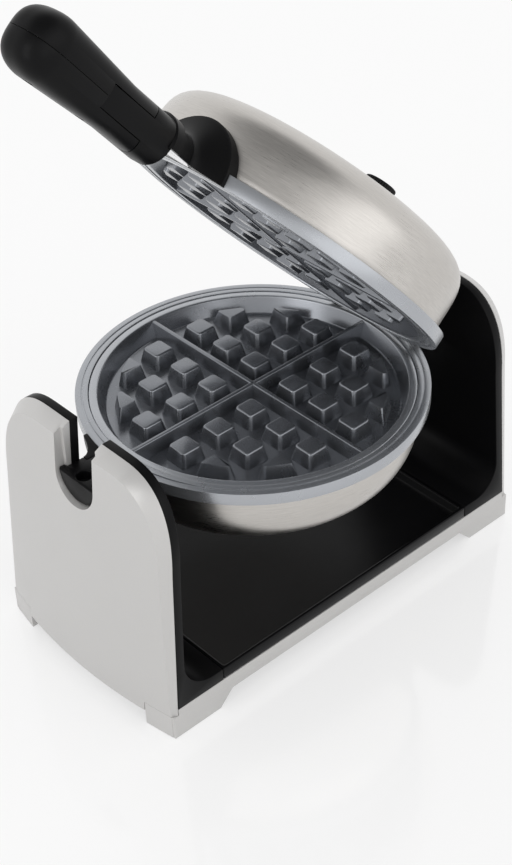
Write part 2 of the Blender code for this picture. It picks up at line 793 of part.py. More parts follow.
def handle_neck(room, frame):
    """The lid's boot and half journal, the neck, and the tongue that the handle folds on."""
    neck = split_half("handle_neck", journal_profile(neck_start - seat_gap), room, frame)
    plate_top = part_line + neck_plate_wall
    width = neck_plate_half_width + seat_gap
    plate_room = box("neck_plate_room", (-neck_plate_end - seat_gap, -width, -overrun),
                     (-neck_plate_start + seat_gap, width, plate_top + seat_gap), frame=frame)
    cut(neck, plate_room)
    cut(boot("upper_boot", room, frame), plate_room)
    join(neck, rod("peg", (-peg_reach, 0.0, -peg_length), (-peg_reach, 0.0, journal_radius / 2),
                   peg_radius, frame=frame))
    join(neck, rod("neck_shaft", (-journal_end - seat_gap, 0.0, 0.0), (-neck_start - seat_gap, 0.0, 0.0),
                   neck_radius, round_steps, frame=frame))

    block = loft("neck_block", [section(reach, grip_near_half_width, grip_near_half_height)
                                for reach in (neck_start, fold_reach + tongue_radius)], frame=frame)
    recess = ear_radius + knuckle_gap
    far = -fold_reach - tongue_radius - overrun
    knuckle = arc((-fold_reach, 0.0), recess, -pi / 2, pi / 2, 2 * arc_steps)
    for up in SIGNS:
        level = (0.0, 0.0, up * (tongue_half + overrun))
        cut(block, outline("ear_room", knuckle + [(far, recess), (far, -recess)], 2 * overrun,
                           plane((1, 0, 0), (0, 1, 0), level), frame=frame))
    wide = tongue_radius + overrun
    end = arc((-fold_reach, 0.0), tongue_radius, pi / 2, 3 * pi / 2, 2 * arc_steps)
    beyond = [(-fold_reach, wide)] + end + [(-fold_reach, -wide), (far, -wide), (far, wide)]
    cut(block, outline("tongue_end", beyond, 4 * tongue_half, plane((1, 0, 0), (0, 1, 0)), frame=frame))
    join(neck, block)
    cut(neck, rod("fold_bore", (-fold_reach, 0.0, -2 * tongue_half), (-fold_reach, 0.0, 2 * tongue_half),
                  fold_pin_radius + running_gap, frame=frame))

    plate = box("neck_plate", (-neck_plate_end, -neck_plate_half_width, part_line),
                (-neck_plate_start, neck_plate_half_width, plate_top), steel, frame)
    cut(plate, rod("peg_hole", (-peg_reach, 0.0, -overrun), (-peg_reach, 0.0, overrun),
                   peg_radius + seat_gap, frame=frame))


def grip_loops():
    """Loops along the grip, straight to the shoulder and then round to the tip."""
    reaches = [fold_reach - ear_radius - knuckle_gap, fold_reach, grip_shoulder_reach]
    loops = [section(reach, *grip_size(reach)) for reach in reaches]
    width, height = grip_size(grip_shoulder_reach)
    for k in range(1, arc_steps):
        angle = k / arc_steps * pi / 2
        swell = cos(angle) ** (2 / grip_power_share)
        reach = grip_shoulder_reach + (grip_reach - grip_shoulder_reach) * sin(angle)
        loops.append(section(reach, width * swell, height * swell))
    return loops


def handle(frame):
    """Two grip shells whose forked end folds about a pin through the tongue."""
    wide = 2 * grip_far_half_width
    near = -fold_reach + 2 * ear_radius
    ear_end = arc((-fold_reach, 0.0), ear_radius, pi / 2, -pi / 2, 2 * arc_steps)
    beyond = [(-fold_reach, wide)] + ear_end + [(-fold_reach, -wide), (near, -wide), (near, wide)]
    ear_cut = outline("ear_ends", beyond, 2 * wide, plane((1, 0, 0), (0, 1, 0)), frame=frame)
    radius = tongue_radius + knuckle_gap
    blind = arc((-fold_reach, 0.0), radius, pi / 2, 3 * pi / 2, 2 * arc_steps)
    room = blind + [(-fold_reach + radius, -radius), (-fold_reach + radius, radius)]
    tongue_room = outline("tongue_room", room, 2 * (tongue_half + knuckle_gap),
                          plane((1, 0, 0), (0, 1, 0)), frame=frame)
    bore_half = fold_pin_half + seat_gap
    bore = rod("fold_pin_bore", (-fold_reach, 0.0, -bore_half), (-fold_reach, 0.0, bore_half),
               fold_pin_radius + seat_gap, frame=frame)
    for name, up in (("upper_grip", 1), ("lower_grip", -1)):
        grip = loft(name, grip_loops(), black, frame)
        low, high = sorted((-up * wide, up * part_line))
        other = box(name + "_other_side", (-grip_reach - overrun, -wide, low), (0.0, wide, high), frame=frame)
        cut(grip, other, ear_cut, tongue_room, bore)
    for number, reach in enumerate(grip_screw_reaches, 1):
        under = -grip_size(reach)[1]
        seat = under + grip_screw_recess
        cut(grip, rod("grip_screw_recess", (-reach, 0.0, under - overrun), (-reach, 0.0, seat),
                      grip_screw_radius + seat_gap, frame=frame))
        rod(f"grip_screw_{number}", (-reach, 0.0, seat - seat_gap - grip_screw_head),
            (-reach, 0.0, seat - seat_gap), grip_screw_radius, kind=dark_metal, frame=frame)
    rod("fold_pin", (-fold_reach, 0.0, -fold_pin_half), (-fold_reach, 0.0, fold_pin_half),
        fold_pin_radius, kind=dark_metal, frame=frame)


# Hinge, yoke and axle, measured from the middle of the iron

def hinge_bores(target, radius, frame):
    """The two round holes that the hinge pins sit in."""
    for sign in SIGNS:
        start, end = sign * lug_inner, sign * (ear_outer + overrun)
        cut(target, rod("hinge_bore", (hinge_reach, start, hinge_rise), (hinge_reach, end, hinge_rise),
                        radius, frame=frame))


def hinge_bracket(room, frame):
    """The saddle on the upper dome that turns on the hinge pins."""
    saddle = box("hinge_bracket", (hinge_reach - overrun, -lug_outer, bracket_bottom),
                 (bracket_outer, lug_outer, bracket_top), dark_metal, frame)
    cut(saddle, room)
    hinge_bores(saddle, hinge_pin_radius + running_gap, frame)


def hinge_yoke(frame):
    """The arm between the axle and the lower half, with the two ears that hold the pins."""
    made = box("hinge_yoke", (yoke_inner, -yoke_half_width, -yoke_bottom),
               (yoke_outer, yoke_half_width, yoke_top), black, frame)
    join(made, box("yoke_wing", (ear_leg_inner, -ear_outer, -yoke_bottom),
                   (yoke_outer, ear_outer, yoke_wing_top), frame=frame))
    eye = arc((hinge_reach, hinge_rise), hinge_eye_radius, pi / 2, 3 * pi / 2)
    leg = [(ear_leg_inner, hinge_rise - hinge_eye_radius - ear_throat), (ear_leg_inner, -yoke_bottom),
           (ear_leg_outer, -yoke_bottom), (ear_leg_outer, hinge_rise - hinge_eye_radius)]
    for sign in SIGNS:
        centre = (0.0, sign * (ear_inner + ear_outer) / 2, 0.0)
        join(made, outline("yoke_ear", eye + leg, ear_outer - ear_inner,
                           plane((1, 0, 0), (0, 0, 1), centre), frame=frame))
    join(made, rod("yoke_neck", (yoke_inner + yoke_neck_radius, 0.0, 0.0), (yoke_neck_end, 0.0, 0.0),
                   yoke_neck_radius, round_steps, frame=frame))
    cut(made, rod("axle_socket", (axle_start - seat_gap, 0.0, 0.0), (yoke_neck_end + overrun, 0.0, 0.0),
                  axle_radius + seat_gap, round_steps, frame=frame))
    hinge_bores(made, hinge_pin_radius + seat_gap, frame)


def hinge_pins(frame):
    """Two short headed pins through the ears into the saddle."""
    head = ear_outer + seat_gap
    profile = [(0.0, head + hinge_pin_head), (hinge_pin_head_radius, head + hinge_pin_head),
               (hinge_pin_head_radius, head), (hinge_pin_radius, head),
               (hinge_pin_radius, lug_inner + seat_gap), (0.0, lug_inner + seat_gap)]
    for name, sign in (("hinge_pin_front", -1), ("hinge_pin_back", 1)):
        turned(name, profile, small_steps, turn=along((0, sign, 0), hinge_offset), kind=dark_metal,
               frame=frame)


def axle(frame):
    """A hollow axle for the wires, and the collar that keeps it in its bush."""
    axle_end = bush_end() - iron_x + collar_gap + collar_width
    tube = [(axle_bore, axle_start), (axle_radius, axle_start), (axle_radius, axle_end),
            (axle_bore, axle_end)]
    turned("axle", tube, closed=True, turn=along((1, 0, 0)), kind=steel, frame=frame)
    bore, start = axle_radius + seat_gap, axle_end - collar_width
    ring = [(bore, start), (collar_radius, start), (collar_radius, axle_end), (bore, axle_end)]
    turned("axle_collar", ring, closed=True, turn=along((1, 0, 0)), kind=dark_metal, frame=frame)


# Browning dial, measured from the parting plane along the dial's own axis

def browning_dial(dome, room, lid, on_dial):
    """The control under the dome, its trim ring, and the knob with its shaft."""
    hole = bushing_radius + seat_gap
    cut(dome, rod("bushing_hole", (dial_reach, 0.0, plate_back), (dial_reach, 0.0, dial_top), hole,
                  frame=lid))
    inner_reach, inner_rise = dome_radius - dome_wall, upper_dome_rise - dome_wall
    top = ring_height + dome_z(dial_reach + control_radius, inner_reach, inner_rise, upper_dome_shares)
    low = top - control_height
    bore = shaft_radius + running_gap
    bushing_top = trim_top - seat_gap
    profile = [(0.0, low), (control_radius, low), (control_radius, top), (bushing_radius, top),
               (bushing_radius, bushing_top), (bore, bushing_top), (bore, low + control_floor),
               (0.0, low + control_floor)]
    turned("browning_control", profile, small_steps, kind=dark_metal, frame=on_dial)
    trim = turned("dial_trim", [(hole, top), (trim_radius, top), (trim_radius, trim_top), (hole, trim_top)],
                  round_steps, True, kind=steel, frame=on_dial)
    cut(trim, room)

    knob_low = trim_top + running_gap
    socket, socket_top = shaft_radius + seat_gap, dial_top - dial_cap
    profile = [(0.0, dial_top), (dial_grip_radius - dial_chamfer, dial_top),
               (dial_grip_radius, dial_top - dial_chamfer), (dial_grip_radius, knob_low + dial_skirt),
               (dial_radius, knob_low + dial_skirt), (dial_radius, knob_low), (socket, knob_low),
               (socket, socket_top), (0.0, socket_top)]
    turned("dial_knob", profile, kind=black, frame=on_dial)
    rod("dial_shaft", (0.0, 0.0, low + control_floor + seat_gap), (0.0, 0.0, socket_top - seat_gap),
        shaft_radius, kind=steel, frame=on_dial)


def iron():
    """The two halves of the iron on their joints, with the lid raised by its tilt."""
    flip_axis = carrier("flip_axis", iron_centre)
    rotor = Frame(flip_axis, Vector())
    lower = Frame(carrier("lower_half", Vector(), (pi, 0.0, 0.0), flip_axis), Vector())
    lid_hinge = carrier("lid_hinge", hinge_offset, (0.0, lid_tilt, 0.0), flip_axis)
    lid = Frame(lid_hinge, -hinge_offset)
    fold_axis = carrier("fold_axis", Vector((-fold_reach, 0.0, 0.0)) - hinge_offset, parent=lid_hinge)
    folding = Frame(fold_axis, Vector((fold_reach, 0.0, 0.0)))
    dial_axis = carrier("dial_axis", Vector((dial_reach, 0.0, 0.0)) - hinge_offset, parent=lid_hinge)

    lower_room = half_iron("lower", lower_dome_rise, lower_dome_shares, lower)[1]
    back = plate_back + seat_gap
    rod("thermostat", (0.0, 0.0, back), (0.0, 0.0, back + thermostat_height), thermostat_radius,
        kind=dark_metal, frame=lower)
    lower_journal(lower_room, lower)
    hinge_yoke(rotor)
    hinge_pins(rotor)
    axle(rotor)

    dome, upper_room = half_iron("upper", upper_dome_rise, upper_dome_shares, lid)
    handle_neck(upper_room, lid)
    hinge_bracket(upper_room, lid)
    browning_dial(dome, upper_room, lid, Frame(dial_axis, Vector()))
    handle(folding)


def main():
    clear_scene()
    stand()
    iron()


main()
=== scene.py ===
import json
from math import atan2, cos, pi, radians, sin, sqrt, tau

import bmesh
import bpy
from mathutils import Matrix, Vector

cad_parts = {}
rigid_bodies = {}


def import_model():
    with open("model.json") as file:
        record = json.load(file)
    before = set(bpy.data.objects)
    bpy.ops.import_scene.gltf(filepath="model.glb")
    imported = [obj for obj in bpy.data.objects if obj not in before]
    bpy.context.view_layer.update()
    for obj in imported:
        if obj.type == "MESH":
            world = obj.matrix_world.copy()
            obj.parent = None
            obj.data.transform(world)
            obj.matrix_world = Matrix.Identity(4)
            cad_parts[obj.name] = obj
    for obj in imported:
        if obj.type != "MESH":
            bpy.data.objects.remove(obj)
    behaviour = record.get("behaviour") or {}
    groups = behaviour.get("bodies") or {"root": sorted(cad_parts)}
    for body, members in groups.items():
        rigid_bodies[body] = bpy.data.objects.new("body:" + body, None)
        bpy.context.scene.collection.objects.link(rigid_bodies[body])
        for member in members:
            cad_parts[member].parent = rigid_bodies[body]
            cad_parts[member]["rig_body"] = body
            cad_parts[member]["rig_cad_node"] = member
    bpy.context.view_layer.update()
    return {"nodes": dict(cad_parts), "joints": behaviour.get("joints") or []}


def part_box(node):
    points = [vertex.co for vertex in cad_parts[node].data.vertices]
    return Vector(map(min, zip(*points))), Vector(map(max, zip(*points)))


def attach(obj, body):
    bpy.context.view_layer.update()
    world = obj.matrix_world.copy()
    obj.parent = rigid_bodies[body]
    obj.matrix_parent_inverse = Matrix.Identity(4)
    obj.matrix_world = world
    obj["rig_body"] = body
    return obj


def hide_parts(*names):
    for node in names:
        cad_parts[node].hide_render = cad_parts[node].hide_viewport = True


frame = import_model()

print("frame loaded with", len(frame["nodes"]), "nodes")

# Where the two halves of the iron lie. A half's own Z runs away from the parting plane.
joints = {joint["name"]: joint for joint in frame["joints"]}
ironCentre = Vector(joints["flip"]["pos_m"])
hingePoint = Vector(joints["lid_hinge"]["pos_m"])
lidTilt = radians(-joints["lid_hinge"]["range_deg"][0])
rotorPlace = Matrix.Translation(ironCentre)
lowerHalf = rotorPlace @ Matrix.Rotation(pi, 4, "X")
upperHalf = (Matrix.Translation(hingePoint) @ Matrix.Rotation(lidTilt, 4, "Y")
             @ Matrix.Translation(ironCentre - hingePoint))
alongHandle = Matrix.Rotation(-pi / 2, 4, "Y")      # lays a turned piece's Z along -X
alongAxle = Matrix.Rotation(pi / 2, 4, "Y")         # and along +X

seatGap = 0.0003
partLine = seatGap / 2
overrun = 0.010
signs = (-1, 1)

stand = {
    "depth": 0.1728,
    "height": 0.1943,
    "coverReaches": (0.1592, 0.1612),
    "coverLeans": (0.045, 0.015),
    "seatReaches": (0.1560, 0.1576),
    "seatLeans": (0.072, 0.040),
    "bowAtFoot": 0.0098,
    "bowAtTop": 0.0018,
    "rimSlope": 0.55,
    "shoulderInset": 0.0044,
    "shoulderHeight": 0.1300,
    "shoulderWidth": 0.0450,
    "shoulderPower": 2.6,
    "coverBottom": 0.0123,
    "footStep": 0.0193,
    "footReturn": 0.0244,
    "linerWall": 0.0065,
    "linerFillet": 0.0220,
    "linerBottom": 0.0244,
    "bossRadius": 0.0200,
    "slotRadius": 0.0189,
    "slotWaist": 0.0162,
    "slotStep": 0.1425,
    "edge": 0.0009,
    "panEdge": 0.0005,
    "rows": 26,
    "straightRows": 4,
    "rimPasses": 10,
    "columns": 30,
}
bush = {"flange": 0.0025, "flangeRadius": 0.0180, "barrel": 0.0130, "clearance": 0.0004, "edge": 0.0005}
iron = {
    "ringRadius": 0.1180,
    "ringInner": 0.1095,
    "ringHeight": 0.0087,
    "flatReach": 0.1125,
    "domeRadius": 0.1115,
    "domeWall": 0.0015,
    "domeEdge": 0.0004,
    "domeRows": 36,
    "innerRows": 12,
    "roomRows": 24,
    "fineSteps": 400,
    "steps": 180,
}
lower = {"name": "lower", "body": "rotor", "place": lowerHalf, "rise": 0.0590, "powers": (3.5, 2.9)}
upper = {"name": "upper", "body": "lid", "place": upperHalf, "rise": 0.0503, "powers": (5, 5.2)}
halves = (lower, upper)
slotNames = {
    "silverPaint": "silver", "blackPlastic": "black_plastic", "blackGloss": "black_plastic",
    "ringGrey": "ring_grey", "lowerNonstick": "nonstick", "upperNonstick": "nonstick", "lowerSteel": "steel",
    "upperSteel": "steel", "darkSteel": "dark_steel", "brightTrim": "steel", "bushBrass": "brass",
    "softRubber": "rubber",
}


# Selecting and shaping

def activate(piece):
    bpy.ops.object.select_all(action="DESELECT")
    piece.select_set(True)
    bpy.context.view_layer.objects.active = piece


def begin(name, primitive, **options):
    bpy.ops.object.select_all(action="DESELECT")
    primitive(**options)
    piece = bpy.context.object
    piece.name = piece.data.name = name
    bpy.ops.object.transform_apply(location=True, rotation=True, scale=True)
    bpy.ops.object.mode_set(mode="EDIT")
    bpy.ops.mesh.select_mode(type="VERT")
    selectAll()
    return piece


def selectAll():
    bpy.ops.mesh.select_all(action="SELECT")


def edit(piece):
    activate(piece)
    bpy.ops.object.mode_set(mode="EDIT")
    selectAll()


def leave():
    bpy.ops.object.mode_set(mode="OBJECT")


def faceOut():
    # Turns every face outwards and leaves the piece
    selectAll()
    bpy.ops.mesh.normals_make_consistent(inside=False)
    leave()


def extrude(step=(0, 0, 0)):
    bpy.ops.mesh.extrude_region_move(TRANSFORM_OT_translate={"value": step})


def middle(part):
    return sum((vertex.co for vertex in part.verts), Vector()) / len(part.verts)


def pick(kind, test):
    # Selects the vertices, edges or faces that pass a test
    bpy.ops.mesh.select_mode(type=kind)
    bpy.ops.mesh.select_all(action="DESELECT")
    shape = bmesh.from_edit_mesh(bpy.context.object.data)
    for part in {"VERT": shape.verts, "EDGE": shape.edges, "FACE": shape.faces}[kind]:
        part.select_set(bool(test(part)))
    shape.select_flush_mode()
    bmesh.update_edit_mesh(bpy.context.object.data)


def pull(move):
    # Moves each picked vertex to where a rule puts it, as a pull with a falloff does
    shape = bmesh.from_edit_mesh(bpy.context.object.data)
    for vertex in shape.verts:
        if vertex.select:
            vertex.co = move(vertex.co.copy())
    shape.normal_update()
    bmesh.update_edit_mesh(bpy.context.object.data)


def applied(piece, kind, **settings):
    activate(piece)
    bpy.ops.object.modifier_add(type=kind)
    modifier = piece.modifiers[-1]
    for key, value in settings.items():
        setattr(modifier, key, value)
    bpy.ops.object.modifier_apply(modifier=modifier.name)


def soften(piece, width, segments=3, angle=35):
    applied(piece, "BEVEL", width=width, segments=segments, limit_method="ANGLE", angle_limit=radians(angle),
            use_clamp_overlap=True, miter_outer="MITER_ARC")


def carve(piece, *tools, operation="DIFFERENCE"):
    for tool in tools:
        applied(piece, "BOOLEAN", object=tool, operation=operation, solver="EXACT")
        bpy.data.objects.remove(tool, do_unlink=True)


def seat(piece, place):
    # Lays a piece that was made at the origin where it belongs, with the place in its mesh
    piece.matrix_world = place
    activate(piece)
    bpy.ops.object.transform_apply(location=True, rotation=True, scale=True)


def copied(piece, name):
    activate(piece)
    bpy.ops.object.duplicate()
    twin = bpy.context.object
    twin.name = twin.data.name = name
    return twin


def joined(name, pieces):
    activate(pieces[0])
    for piece in pieces[1:]:
        piece.select_set(True)
    bpy.ops.object.join()
    pieces[0].name = pieces[0].data.name = name
    return pieces[0]


def finish(piece, body, look, *nodes, sharp=34, slotName=None):
    slotName = slotName or slotNames[look]
    edit(piece)
    faceOut()
    bpy.ops.object.shade_smooth_by_angle(angle=radians(sharp))
    piece.data.materials.clear()
    piece.data.materials.append(materials[look])
    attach(piece, body)
    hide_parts(*nodes)


def drawn(name, points):
    # Walks one vertex along the points and leaves the edges behind it
    points = [Vector(point) for point in points]
    piece = begin(name, bpy.ops.mesh.primitive_plane_add, size=overrun)
    bpy.ops.mesh.merge(type="CENTER")
    bpy.ops.transform.translate(value=points[0])
    for here, there in zip(points, points[1:]):
        bpy.ops.mesh.extrude_vertices_move(TRANSFORM_OT_translate={"value": there - here})
    return piece


def turned(name, profile, steps, closed=False):
    # Spins a profile of radius and height about Z
    tiny = seatGap / 100
    piece = drawn(name, [(radius, 0, height) for radius, height in profile])
    selectAll()
    if closed:
        ends = [Vector((radius, 0, height)) for radius, height in (profile[0], profile[-1])]
        pick("VERT", lambda vertex: min((vertex.co - end).length for end in ends) < tiny)
        bpy.ops.mesh.edge_face_add()
        selectAll()
    bpy.ops.mesh.spin(steps=steps, angle=tau, center=(0, 0, 0), axis=(0, 0, 1))
    selectAll()
    bpy.ops.mesh.remove_doubles(threshold=tiny)
    faceOut()
    return piece


def slab(name, points, depth):
    # An outline in X and Y, filled and drawn out evenly to both sides along Z
    piece = drawn(name, [(across, up, -depth / 2) for across, up in points])
    selectAll()
    bpy.ops.mesh.edge_face_add()
    extrude((0, 0, depth))
    faceOut()
    return piece


def block(name, low, high):
    low, high = Vector(low), Vector(high)
    piece = begin(name, bpy.ops.mesh.primitive_cube_add, size=1, location=(low + high) / 2,
                  scale=high - low)
    leave()
    return piece


def bar(name, radius, start, end, steps=48):
    # A round bar between two points, to cut with or to join on
    start, end = Vector(start), Vector(end)
    piece = begin(name, bpy.ops.mesh.primitive_cylinder_add, vertices=steps, radius=radius,
                  depth=(end - start).length)
    leave()
    turn = (end - start).to_track_quat("Z", "Y").to_matrix().to_4x4()
    seat(piece, Matrix.Translation((start + end) / 2) @ turn)
    return piece


def arc(centre, radius, start, end, steps=12):
    return [(centre[0] + radius * cos(start + (end - start) * k / steps),
             centre[1] + radius * sin(start + (end - start) * k / steps)) for k in range(steps + 1)]


def axes(across, up, centre=(0, 0, 0)):
    # Lays a slab's X and Y along two directions
    across, up = Vector(across), Vector(up)
    turn = Matrix((across, up, across.cross(up))).transposed().to_4x4()
    return Matrix.Translation(centre) @ turn


# Finishes

finishes = {
    "silverPaint": {"colour": (0.58, 0.572, 0.562), "metallic": 0.35, "roughness": 0.34, "flake": 0.025,
                    "grainScale": 2600, "bump": 0.035, "coat": 0.15},
    "blackPlastic": {"colour": (0.0042, 0.0042, 0.0046), "roughness": 0.33, "specular": 0.11, "flake": 0.12,
                     "grainScale": 1900, "bump": 0.09},
    "blackGloss": {"colour": (0.0035, 0.0035, 0.004), "roughness": 0.20, "specular": 0.14, "flake": 0.10,
                   "grainScale": 1500, "bump": 0.03},
    "ringGrey": {"colour": (0.42, 0.435, 0.46), "metallic": 0.80, "roughness": 0.27, "flake": 0.05,
                 "grainScale": 2200, "bump": 0.05},
    "darkSteel": {"colour": (0.30, 0.30, 0.31), "metallic": 0.95, "roughness": 0.34, "flake": 0.10,
                  "grainScale": 2400, "bump": 0.05},
    "brightTrim": {"colour": (0.80, 0.80, 0.82), "metallic": 1, "roughness": 0.14, "flake": 0.02,
                   "grainScale": 1200, "bump": 0.02},
    "bushBrass": {"colour": (0.62, 0.47, 0.22), "metallic": 0.95, "roughness": 0.38, "flake": 0.12,
                  "grainScale": 1600, "bump": 0.08},
    "softRubber": {"colour": (0.018, 0.018, 0.018), "roughness": 0.78, "specular": 0.4, "flake": 0.20,
                   "grainScale": 1400, "bump": 0.18},
}
nonstickLook = {
    "colour": (0.24, 0.25, 0.27),
    "metallic": 0.85,
    "roughness": 0.25,
    "flake": 0.06,
    "grainScale": 1700,
    "bump": 0.08,
    "paintedSheenRadii": (0.1030, 0.1040),                   # between these the flat rim is painted paler, a painted sheen
    # the painted sheen: a paler colour standing in for the light on the plate's flat rim
    "paintedSheenColour": (0.46, 0.475, 0.50),
}
steelLook = {
    "colour": (0.64, 0.615, 0.585),
    "dark": (0.46, 0.442, 0.42),
    "roughness": (0.26, 0.38),
    "linesPerMetre": 2600,
    "lineLength": 9,
    "cloudScale": 22,
    "cloudGloss": (0.85, 1.15),
    "bump": 0.10,
}
plainLook = {                                       # what a finish has unless it says otherwise
    "metallic": 0,
    "specular": 0.5,
    "coat": 0,
    "coatRoughness": 0.12,
    "cloudScale": 28,
    "cloudGloss": (-0.035, 0.045),
}
noiseSpan = (0.3, 0.7)                              # where most of a noise lies
lineSpan = (0.25, 0.75)
bumpDepth = 0.0002


def addNode(tree, kind, **inputs):
    made = tree.nodes.new(kind)
    for name, value in inputs.items():
        made.inputs[name.replace("_", " ")].default_value = value
    return made


def maths(tree, operation, *sources, kind="ShaderNodeMath", output="Value"):
    # Each source is a socket to link or a plain value to set
    made = tree.nodes.new(kind)
    made.operation = operation
    for socket, source in zip(made.inputs, sources):
        if isinstance(source, bpy.types.NodeSocket):
            tree.links.new(source, socket)
        else:
            socket.default_value = source
    return made.outputs[output]


def vectorMaths(tree, operation, *sources, output="Vector"):
    return maths(tree, operation, *sources, kind="ShaderNodeVectorMath", output=output)


def noise(tree, vector, scale, detail=3, roughness=0.55):
    made = addNode(tree, "ShaderNodeTexNoise", Scale=scale, Detail=detail, Roughness=roughness)
    tree.links.new(vector, made.inputs["Vector"])
    return made.outputs["Fac"]


def ranged(tree, value, low, high, fromLow=0, fromHigh=1):
    made = addNode(tree, "ShaderNodeMapRange", From_Min=fromLow, From_Max=fromHigh, To_Min=low, To_Max=high)
    tree.links.new(value, made.inputs["Value"])
    return made.outputs["Result"]


def mixed(tree, share, first, second):
    made = tree.nodes.new("ShaderNodeMix")
    made.data_type = "RGBA"
    made.inputs["A"].default_value = (*first, 1)
    made.inputs["B"].default_value = (*second, 1)
    tree.links.new(share, made.inputs["Factor"])
    return made.outputs["Result"]


def shaded(colour, by):
    return tuple(min(channel * by, 1) for channel in colour)


def newMaterial(name):
    material = bpy.data.materials.new(name)
    material.use_nodes = True
    return material, material.node_tree, material.node_tree.nodes["Principled BSDF"]


def raised(tree, shader, height, strength):
    bump = addNode(tree, "ShaderNodeBump", Strength=strength, Distance=bumpDepth)
    tree.links.new(height, bump.inputs["Height"])
    tree.links.new(bump.outputs["Normal"], shader.inputs["Normal"])


def moulded(name, look):
    # Paint, plastic, rubber or cast metal: fine grain, slow clouds in gloss
    look = {**plainLook, **look}
    material, tree, shader = newMaterial(name)
    for socket, key in (("Metallic", "metallic"), ("Specular IOR Level", "specular"), ("Coat Weight", "coat"),
                        ("Coat Roughness", "coatRoughness")):
        shader.inputs[socket].default_value = look[key]
    place = tree.nodes.new("ShaderNodeTexCoord").outputs["Object"]
    grain = noise(tree, place, look["grainScale"], detail=2)
    clouds = noise(tree, place, look["cloudScale"], detail=4)
    colours = (shaded(look["colour"], 1 + sign * look["flake"]) for sign in signs)
    speckle = mixed(tree, ranged(tree, grain, 0, 1, *noiseSpan), *colours)
    tree.links.new(speckle, shader.inputs["Base Color"])
    low, high = (look["roughness"] + step for step in look["cloudGloss"])
    tree.links.new(ranged(tree, clouds, low, high, *noiseSpan), shader.inputs["Roughness"])
    raised(tree, shader, grain, look["bump"])
    return material


def aroundAxis(tree, place):
    # A point in a half's own frame, the same laid flat, and its distance from the half's axis
    inward = place.inverted()
    mapping = addNode(tree, "ShaderNodeMapping", Location=inward.to_translation(),
                      Rotation=inward.to_euler("XYZ"))
    tree.links.new(tree.nodes.new("ShaderNodeTexCoord").outputs["Object"], mapping.inputs["Vector"])
    point = mapping.outputs["Vector"]
    flat = vectorMaths(tree, "MULTIPLY", point, (1, 1, 0))
    return point, flat, vectorMaths(tree, "LENGTH", flat, output="Value")


def coatedWithPaintedSheen(name, look, place):
    # A waffle plate's coating, dark in the mould, with a painted sheen: the flat rim is painted paler to
    # stand in for the light it catches
    material = moulded(name, look)
    tree = material.node_tree
    colour = tree.nodes["Principled BSDF"].inputs["Base Color"]
    speckle = colour.links[0].from_socket
    radius = aroundAxis(tree, place)[2]
    # painted sheen: the coating turns paler towards the flat rim, standing in for its highlight
    blend = mixed(tree, ranged(tree, radius, 0, 1, *look["paintedSheenRadii"]), look["colour"], look["paintedSheenColour"])
    tree.links.new(speckle, blend.node.inputs["A"])
    tree.links.new(blend, colour)
    return material


def brushed(name, look, place):
    # Steel brushed in rings about a half's own axis: fine lines in colour, gloss and relief
    material, tree, shader = newMaterial(name)
    shader.inputs["Metallic"].default_value = 1
    point, flat, radius = aroundAxis(tree, place)
    apart = tree.nodes.new("ShaderNodeSeparateXYZ")
    tree.links.new(point, apart.inputs["Vector"])
    across = maths(tree, "SUBTRACT", radius, apart.outputs["Z"])
    lines = tree.nodes.new("ShaderNodeCombineXYZ")
    tree.links.new(maths(tree, "MULTIPLY", across, look["linesPerMetre"]), lines.inputs["Z"])
    turns = vectorMaths(tree, "MULTIPLY", vectorMaths(tree, "NORMALIZE", flat), (look["lineLength"],) * 3)
    pattern = vectorMaths(tree, "ADD", turns, lines.outputs["Vector"])
    fine = noise(tree, pattern, 1, detail=4, roughness=0.65)
    clouds = noise(tree, point, look["cloudScale"])
    tree.links.new(mixed(tree, ranged(tree, fine, 0, 1, *lineSpan), look["dark"], look["colour"]),
                   shader.inputs["Base Color"])
    gloss = maths(tree, "MULTIPLY", ranged(tree, clouds, *look["cloudGloss"], *noiseSpan),
                  ranged(tree, fine, *look["roughness"], *lineSpan))
    tree.links.new(gloss, shader.inputs["Roughness"])
    raised(tree, shader, fine, look["bump"])
    return material


materials = {name: moulded(name, look) for name, look in finishes.items()}
for half in halves:
    for kind, make, look in (("Steel", brushed, steelLook), ("Nonstick", coatedWithPaintedSheen, nonstickLook)):
        materials[half["name"] + kind] = make(half["name"] + kind, look, half["place"])
print("finishes made:", len(materials))


# Stand

halfDepth = stand["depth"] / 2


def seatX(side, z):
    return signs[side] * (stand["seatReaches"][side] - stand["seatLeans"][side] * z)


def coverX(side, y, z):
    bow = stand["bowAtFoot"] + (stand["bowAtTop"] - stand["bowAtFoot"]) * z / stand["height"]
    reach = stand["coverReaches"][side] - stand["coverLeans"][side] * z
    return signs[side] * (reach + bow * (1 - (y / halfDepth) ** 2))


def archPoint(k, inset, bottom):
    # The k-th point up the right edge of the arch, drawn in by an inset
    straight = stand["straightRows"]
    if k <= straight:
        z = bottom + (stand["shoulderHeight"] - bottom) * k / straight
        return halfDepth - inset - stand["shoulderInset"] * k / straight, z
    angle = (k - straight) / (stand["rows"] - straight) * pi / 2
    power = 2 / stand["shoulderPower"]
    across, up = max(cos(angle), 0) ** power, sin(angle) ** power
    rise = stand["height"] - inset - stand["shoulderHeight"]
    y = halfDepth - inset - stand["shoulderInset"] - stand["shoulderWidth"] * (1 - across)
    return y, stand["shoulderHeight"] + rise * up


def rimPoint(side, k):
    # Where the sloping rim meets the bowed face
    out = overrun
    for _ in range(stand["rimPasses"]):
        y, z = archPoint(k, out * stand["rimSlope"], stand["coverBottom"])
        out = abs(coverX(side, y, z)) - abs(seatX(side, z))
    return y, z


def archOutline(bottom):
    half = [archPoint(k, 0, bottom) for k in range(stand["rows"] + 1)]
    return half + [(-y, z) for y, z in reversed(half)]


